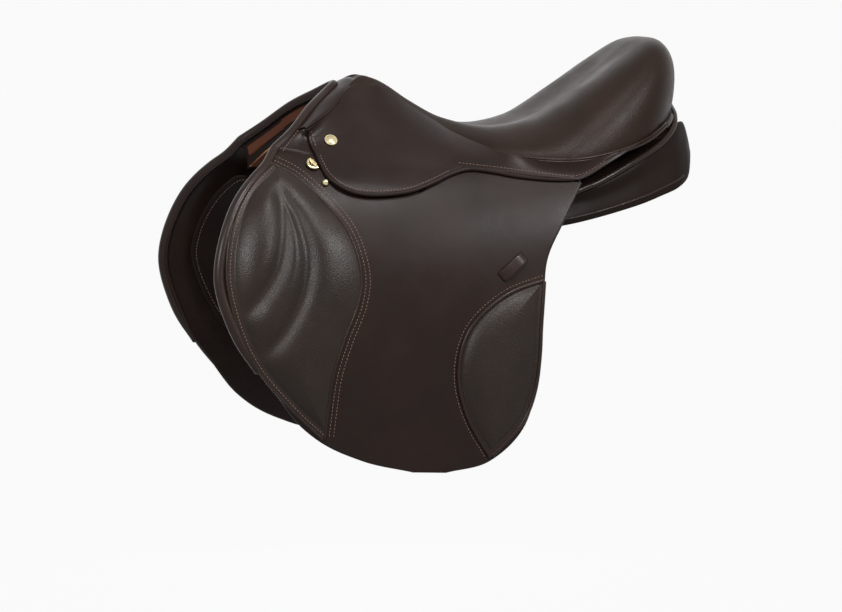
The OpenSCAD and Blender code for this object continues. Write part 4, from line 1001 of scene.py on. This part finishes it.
def pad_flange(border, thick, run):
    return thick * np.sqrt(np.clip(border / run, 0, 1))


def knee_height(p):
    front, rear = far_from(p, KNEE_FRONT), far_from(p, KNEE_REAR)
    rise = pad_rise(np.minimum(front - KNEE_FLANGE, rear * KNEE_SLOPE), KNEE_RISE, KNEE_POWER)
    cut = np.max([np.exp(-(far_from(p, c) / CHANNEL_W) ** CHANNEL_POWER) for c in KNEE_CUTS], axis=0)
    cut *= smooth((CHANNEL_TOP - p[..., 1]) / CHANNEL_FADE)
    return pad_flange(np.minimum(front, rear), KNEE_EDGE, 2) + rise * (KNEE_CROWN - CHANNEL_DEPTH * cut)


def calf_height(p):
    border = np.minimum(far_from(p, CALF_FRONT), far_from(p, CALF_REAR) * CALF_SLOPE)
    rise = pad_rise(border - CALF_FLANGE, CALF_RISE, CALF_POWER)
    return pad_flange(border, CALF_EDGE, 1.5) + CALF_CROWN * rise


def held(border, reach):
    """How firmly a pad is held, from 1 at its edge to 0 at a reach from it."""
    return smooth((reach - border) / SEWN_BLEND)


def pads():
    knee = pad_grid(KNEE_FRONT, KNEE_REAR, 130, 76)
    knee_h = knee_height(knee)
    knee_sewn = np.max([np.exp(-(far_from(knee, c) / SEWN_W) ** 2) for c in KNEE_CUTS], axis=0)
    knee_sewn = np.maximum(knee_sewn, held(far_from(knee, KNEE_FRONT), KNEE_FLANGE + SEWN_PAST))
    knee_sewn = np.maximum(knee_sewn, held(far_from(knee, KNEE_REAR), SEWN_REAR))
    calf = pad_grid(CALF_FRONT, CALF_REAR, 64, 36)
    calf_h = calf_height(calf)
    border = np.minimum(far_from(calf, CALF_FRONT), far_from(calf, CALF_REAR))
    calf_sewn = held(border, CALF_FLANGE + SEWN_PAST)
    for name, side in SIDES.items():
        body = f"flap_{name}"
        obj = pad(f"knee_pad_skin_{name}", side, knee, knee_h, knee_sewn, cap=3.0)
        settle(obj, body, "grain_leather", f"knee_pad_{name}")
        obj = pad(f"calf_pad_skin_{name}", side, calf, calf_h, calf_sewn, cap=2.5)
        settle(obj, body, "grain_leather", f"calf_pad_{name}")
        for label, path, r, lift in PAD_CORDS:
            obj = tube(f"{label}_{name}", on_skin(path, lift), r, EDGE, side, sides=10)
            settle(obj, body, "smooth_leather")
        for label, outline, beside, lift in PAD_ROWS:
            obj = stitched(f"{label}_stitches_{name}", offset(outline, beside), lift, side)
            settle(obj, body, "smooth_leather")


# Keepers

KEEPER_X, KEEPER_Z, KEEPER_ANGLE = -3.5, -73, math.radians(40)
KEEPER_LEN, KEEPER_W, KEEPER_RISE, KEEPER_T, KEEPER_SINK = 40, 13, 6.0, 2.0, 0.4
ARCH_POWER, ARCH_ROOT = 4, 0.8


def keepers():
    s, w = np.meshgrid(np.linspace(-1, 1, 41), crowd_both(13) * 2 - 1, indexing="ij")
    x = KEEPER_X + KEEPER_LEN / 2 * s * math.cos(KEEPER_ANGLE) - KEEPER_W / 2 * w * math.sin(KEEPER_ANGLE)
    z = KEEPER_Z + KEEPER_LEN / 2 * s * math.sin(KEEPER_ANGLE) + KEEPER_W / 2 * w * math.cos(KEEPER_ANGLE)
    p = np.stack([x, z], axis=-1)
    mid = KEEPER_RISE * (1 - np.abs(s) ** ARCH_POWER) ** ARCH_ROOT - KEEPER_SINK
    half = KEEPER_T / 2 * rounding((1 - np.abs(w)) * KEEPER_W / 2, KEEPER_T / 2)
    for name, side in SIDES.items():
        obj = sheet(f"keeper_loop_{name}", p, mid + half, mid - half, EDGE, side, angle=70)
        settle(obj, f"flap_{name}", "smooth_leather", f"keeper_{name}")


# Panels and what lies under the saddle

PANEL_FRONT, PANEL_REAR = -240, 257
PANEL_END_R, PANEL_END_LEAST = 14, 0.02
GULLET_HALF_W = 34
# Sections of the panel: x, y and z of its top edge and of its lower edge, z of the gullet's top and foot
PANEL_ROWS = [
    [PANEL_FRONT, 72, 40, 100, -16, 44, 30],
    [-215, 76, 40, 112, -42, 70, 52], [-180, 81, 36, 120, -47, 78, 46],
    [-100, 90, 28, 127, -42, 58, 20], [0, 104, 18, 131, -36, 46, 8], [75, 118, 12, 126, -28, 48, 6],
    [119, 121, 21, 121, -20, 56, 9], [171, 112, 45, 115, -7, 68, 16], [203, 96, 64, 106, 3, 84, 22],
    [228, 80, 81, 96, 12, 91, 28], [246, 62, 86, 80, 24, 86, 38], [PANEL_REAR, 55, 68, 64, 44, 66, 50]]
# In front, the panel's top lies under the tree: its lift, its drop from the bending line, and where that ends
TREE_LIFT, TREE_DROP, TREE_END, TREE_BLEND = -27.2, 2, 30, 60
PANEL_WELT = fine([
    [80, 128, 8], [96, 126, 14], [118, 124, 22], [160, 115, 42], [200, 98, 62], [224, 80, 80], [234, 58, 95],
    [238, 30, 106]], 130)
PANEL_WELT_R, PANEL_CORD_R = 4.0, 1.3
PANEL_TURNS, CORD_COLUMN, CORD_FROM, CORD_TO = 72, 43, 66, 236


def panel_ring(x):
    """Section of the right panel at x."""
    row = at(PANEL_ROWS, np.array([x]))[0]
    seat_at = on_skin([x, hinge_z(x) - TREE_DROP], TREE_LIFT)
    f = smooth((x - TREE_END) / TREE_BLEND)
    yt, zt = lerp(seat_at[1], row[1], f), lerp(seat_at[2], row[2], f)
    g, ym = GULLET_HALF_W, (GULLET_HALF_W + row[3]) / 2
    points = [[x, g, row[6] + 4], [x, g + 3, row[5] - 5], [x, lerp(g, yt, 0.55), lerp(row[5], zt, 0.45) - 3],
              [x, yt - 2.6, zt - 0.6], [x, lerp(yt, row[3], 0.55) - 2, lerp(zt, row[4], 0.45)],
              [x, row[3], row[4] + 3], [x, row[3] - 8, row[4] - 1], [x, ym, lerp(row[6], row[4], 0.5) - 4]]
    return curve(points, np.arange(PANEL_TURNS) / PANEL_TURNS, closed=True)


def panels():
    xs = lerp(PANEL_FRONT, PANEL_REAR, crowd_both(120))
    rings = np.array([panel_ring(x) for x in xs])
    middle = rings.mean(axis=1, keepdims=True)
    ends = rounding(PANEL_REAR - xs, PANEL_END_R, PANEL_END_LEAST)[:, None, None]
    rings = middle + (rings - middle) * ends
    faces = tube_faces(len(xs), PANEL_TURNS)
    cord = rings[(xs > CORD_FROM) & (xs < CORD_TO), CORD_COLUMN]
    for name, side in SIDES.items():
        obj = tidy(make(f"panel_skin_{name}", rings, faces, PANEL, side), angle=70)
        settle(obj, "saddle", "panel_leather", f"panel_{name}")
        obj = tube(f"panel_welt_{name}", PANEL_WELT, PANEL_WELT_R, EDGE, side, sides=14)
        settle(obj, "saddle", "panel_leather")
        obj = tube(f"panel_gusset_{name}", cord, PANEL_CORD_R, EDGE, side, sides=8)
        settle(obj, "saddle", "panel_leather")


LINING_T, LINING_HALF_W, LINING_DROP, LINING_ARCH = 2, GULLET_HALF_W - 2.8, 9, 4
LINING_FRONT, LINING_REAR = -200, PANEL_REAR - 25


def lining():
    columns = np.linspace(LINING_HALF_W, -LINING_HALF_W, 17)
    xs, ys = np.meshgrid(np.linspace(LINING_FRONT, LINING_REAR, 60), columns, indexing="ij")
    arch = LINING_ARCH * (1 - (ys / GULLET_HALF_W) ** 2)
    top = np.stack([xs, ys, at(PANEL_ROWS, xs)[..., 5] - LINING_DROP + arch], axis=-1)
    obj = slab("gullet_lining_web", top, top - (0, 0, LINING_T), WEBBING)
    settle(obj, "saddle", "webbing", "gullet_lining")


SWEAT_OUT, SWEAT_T, SWEAT_STITCH_IN = -18.55, 3.5, 7
SWEAT_FRONT_IN, SWEAT_REAR_IN, SWEAT_TOP, SWEAT_LIFT = 36, 22, 32.6, 40
SWEAT_TIP_FROM, SWEAT_TIP_EASE, SWEAT_TOP_FADE = 0.82, 0.42, 0.3


def sweat_flaps():
    v = crowd_both(70)[:, None]
    u = crowd_both(60)[None, :]
    # The insets ease off at the tip, where the two edges would cross
    ease = 1 - SWEAT_TIP_EASE * smooth((v - SWEAT_TIP_FROM) / (1 - SWEAT_TIP_FROM))
    front = curve(FLAP_FRONT, v) + ease[..., None] * (SWEAT_FRONT_IN, 0)
    rear = curve(FLAP_REAR, v) - ease[..., None] * (SWEAT_REAR_IN, 0)
    p = lerp(front, rear, u[..., None])
    z = p[..., 1] + SWEAT_LIFT * smooth(v)
    top = hinge_z(p[..., 0]) - SWEAT_TOP
    p = np.stack([p[..., 0], np.minimum(z, lerp(top, z, np.clip(v / SWEAT_TOP_FADE, 0, 1)))], axis=-1)
    rim = lower_rim(p)
    half = SWEAT_T / 2 * rounding(far_from(p, rim), SWEAT_T / 2)
    mid = SWEAT_OUT - SWEAT_T / 2
    row = along(rim, count=400)
    row = row + SWEAT_STITCH_IN * unit(p.reshape(-1, 2).mean(axis=0) - row)
    for name, side in SIDES.items():
        obj = sheet(f"sweat_flap_skin_{name}", p, mid + half, mid - half, PANEL, side)
        settle(obj, "saddle", "panel_leather", f"sweat_flap_{name}")
        inner = on_skin(row, SWEAT_OUT - SWEAT_T)
        obj = stitches(f"sweat_stitches_{name}", inner, -skin_row(row), side)
        settle(obj, "saddle", "panel_leather")


# CAD pieces that stay

STAYING = {
    BRASS: ("saddle_nails", "flap_stud", "dee", "dee_clip", "tree_rivets"),
    STEEL: ("head_plate", "gullet_plate", "spring", "stirrup_bar", "catch_pins", "bar_catch"),
    BEECH: ("tree_rim", "tree_head", "tree_bar"),
    WEBBING: ("seat_web_long", "seat_web_cross", "girth_web"),
    TAN: ("point_pocket",),
    SMOOTH: ("girth_strap",),
}


def carried_over():
    for material, stems in STAYING.items():
        for node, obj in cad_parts.items():
            if any(node == stem or node.startswith(stem + "_") for stem in stems):
                obj.data.materials.clear()
                obj.data.materials.append(material)


# Stage

FLOOR_GREY, FLOOR_ROUGH, FLOOR_SPEC, FLOOR_WHITE = 0.6, 0.9, 0.1, 0.95


def stage():
    mesh = bpy.data.meshes.new("floor")
    corners = ((-1, -1), (1, -1), (1, 1), (-1, 1))
    mesh.from_pydata([(x * FLOOR_REACH * MM, y * FLOOR_REACH * MM, FLOOR_Z * MM) for x, y in corners],
                     [], [(0, 1, 2, 3)])
    floor = bpy.data.objects.new("floor", mesh)
    bpy.context.scene.collection.objects.link(floor)
    material = bpy.data.materials.new("pale_floor")
    material.use_nodes = True
    tree = material.node_tree
    shader = tree.nodes["Principled BSDF"]
    shader.inputs["Base Color"].default_value = (FLOOR_GREY, FLOOR_GREY, FLOOR_GREY, 1)
    shader.inputs["Roughness"].default_value = FLOOR_ROUGH
    shader.inputs["Specular IOR Level"].default_value = FLOOR_SPEC
    white = tree.nodes.new("ShaderNodeEmission")
    white.inputs["Color"].default_value = (1, 1, 1, 1)
    white.inputs["Strength"].default_value = 1.0
    mix = tree.nodes.new("ShaderNodeMixShader")
    tree.links.new(seen_ray(tree, FLOOR_WHITE), mix.inputs["Fac"])
    tree.links.new(shader.outputs[0], mix.inputs[1])
    tree.links.new(white.outputs[0], mix.inputs[2])
    tree.links.new(mix.outputs[0], tree.nodes["Material Output"].inputs["Surface"])
    floor.data.materials.append(material)


def seen_ray(tree, share):
    """Share for rays that show the background: camera, glossy and transmission rays."""
    rays = tree.nodes.new("ShaderNodeLightPath").outputs
    seen = rays["Is Camera Ray"]
    for other in ("Is Glossy Ray", "Is Transmission Ray"):
        seen = combine(tree, "MAXIMUM", seen, rays[other])
    return combine(tree, "MULTIPLY", seen, share)


WORLD_LEVEL = 0.04
# Lamps: place, width and power
LAMPS = (
    ("top", (-100, -830, 930), 0.4, 10),
    ("key", (-1120, -950, 540), 0.35, 11),
    ("side", (544, -1110, 604), 0.3, 12),
    ("fill", (300, 1700, 250), 2.0, 4),
)
LAMP_AIM = Vector((-50, 0, -40)) * MM


def light():
    world = bpy.data.worlds.new("studio")
    bpy.context.scene.world = world
    world.use_nodes = True
    tree = world.node_tree
    back = tree.nodes["Background"]
    level = combine(tree, "ADD", seen_ray(tree, 1 - WORLD_LEVEL), WORLD_LEVEL)
    tree.links.new(level, back.inputs["Strength"])
    back.inputs["Color"].default_value = (1, 1, 1, 1)
    for name, place, size, power in LAMPS:
        data = bpy.data.lights.new(name, "AREA")
        data.shape = "DISK"
        data.size = size
        data.energy = power
        lamp = bpy.data.objects.new(name, data)
        lamp.location = Vector(place) * MM
        lamp.rotation_euler = (LAMP_AIM - lamp.location).to_track_quat("-Z", "Y").to_euler()
        bpy.context.scene.collection.objects.link(lamp)


def camera():
    data = bpy.data.cameras.new("camera")
    data.lens = CAMERA_LENS
    data.sensor_width = SENSOR_WIDTH
    data.clip_end = CLIP_END
    obj = bpy.data.objects.new("camera", data)
    obj.location = Vector(CAMERA_AT) * MM
    obj.rotation_euler = Vector(CAMERA_LOOK).to_track_quat("-Z", "Y").to_euler()
    bpy.context.scene.collection.objects.link(obj)
    bpy.context.scene.camera = obj
    bpy.context.scene.view_settings.view_transform = "Standard"


camera()
light()
stage()
seat()
seat_trim()
pommel()
skirts()
flaps()
gussets()
studs()
pads()
keepers()
panels()
lining()
sweat_flaps()
carried_over()
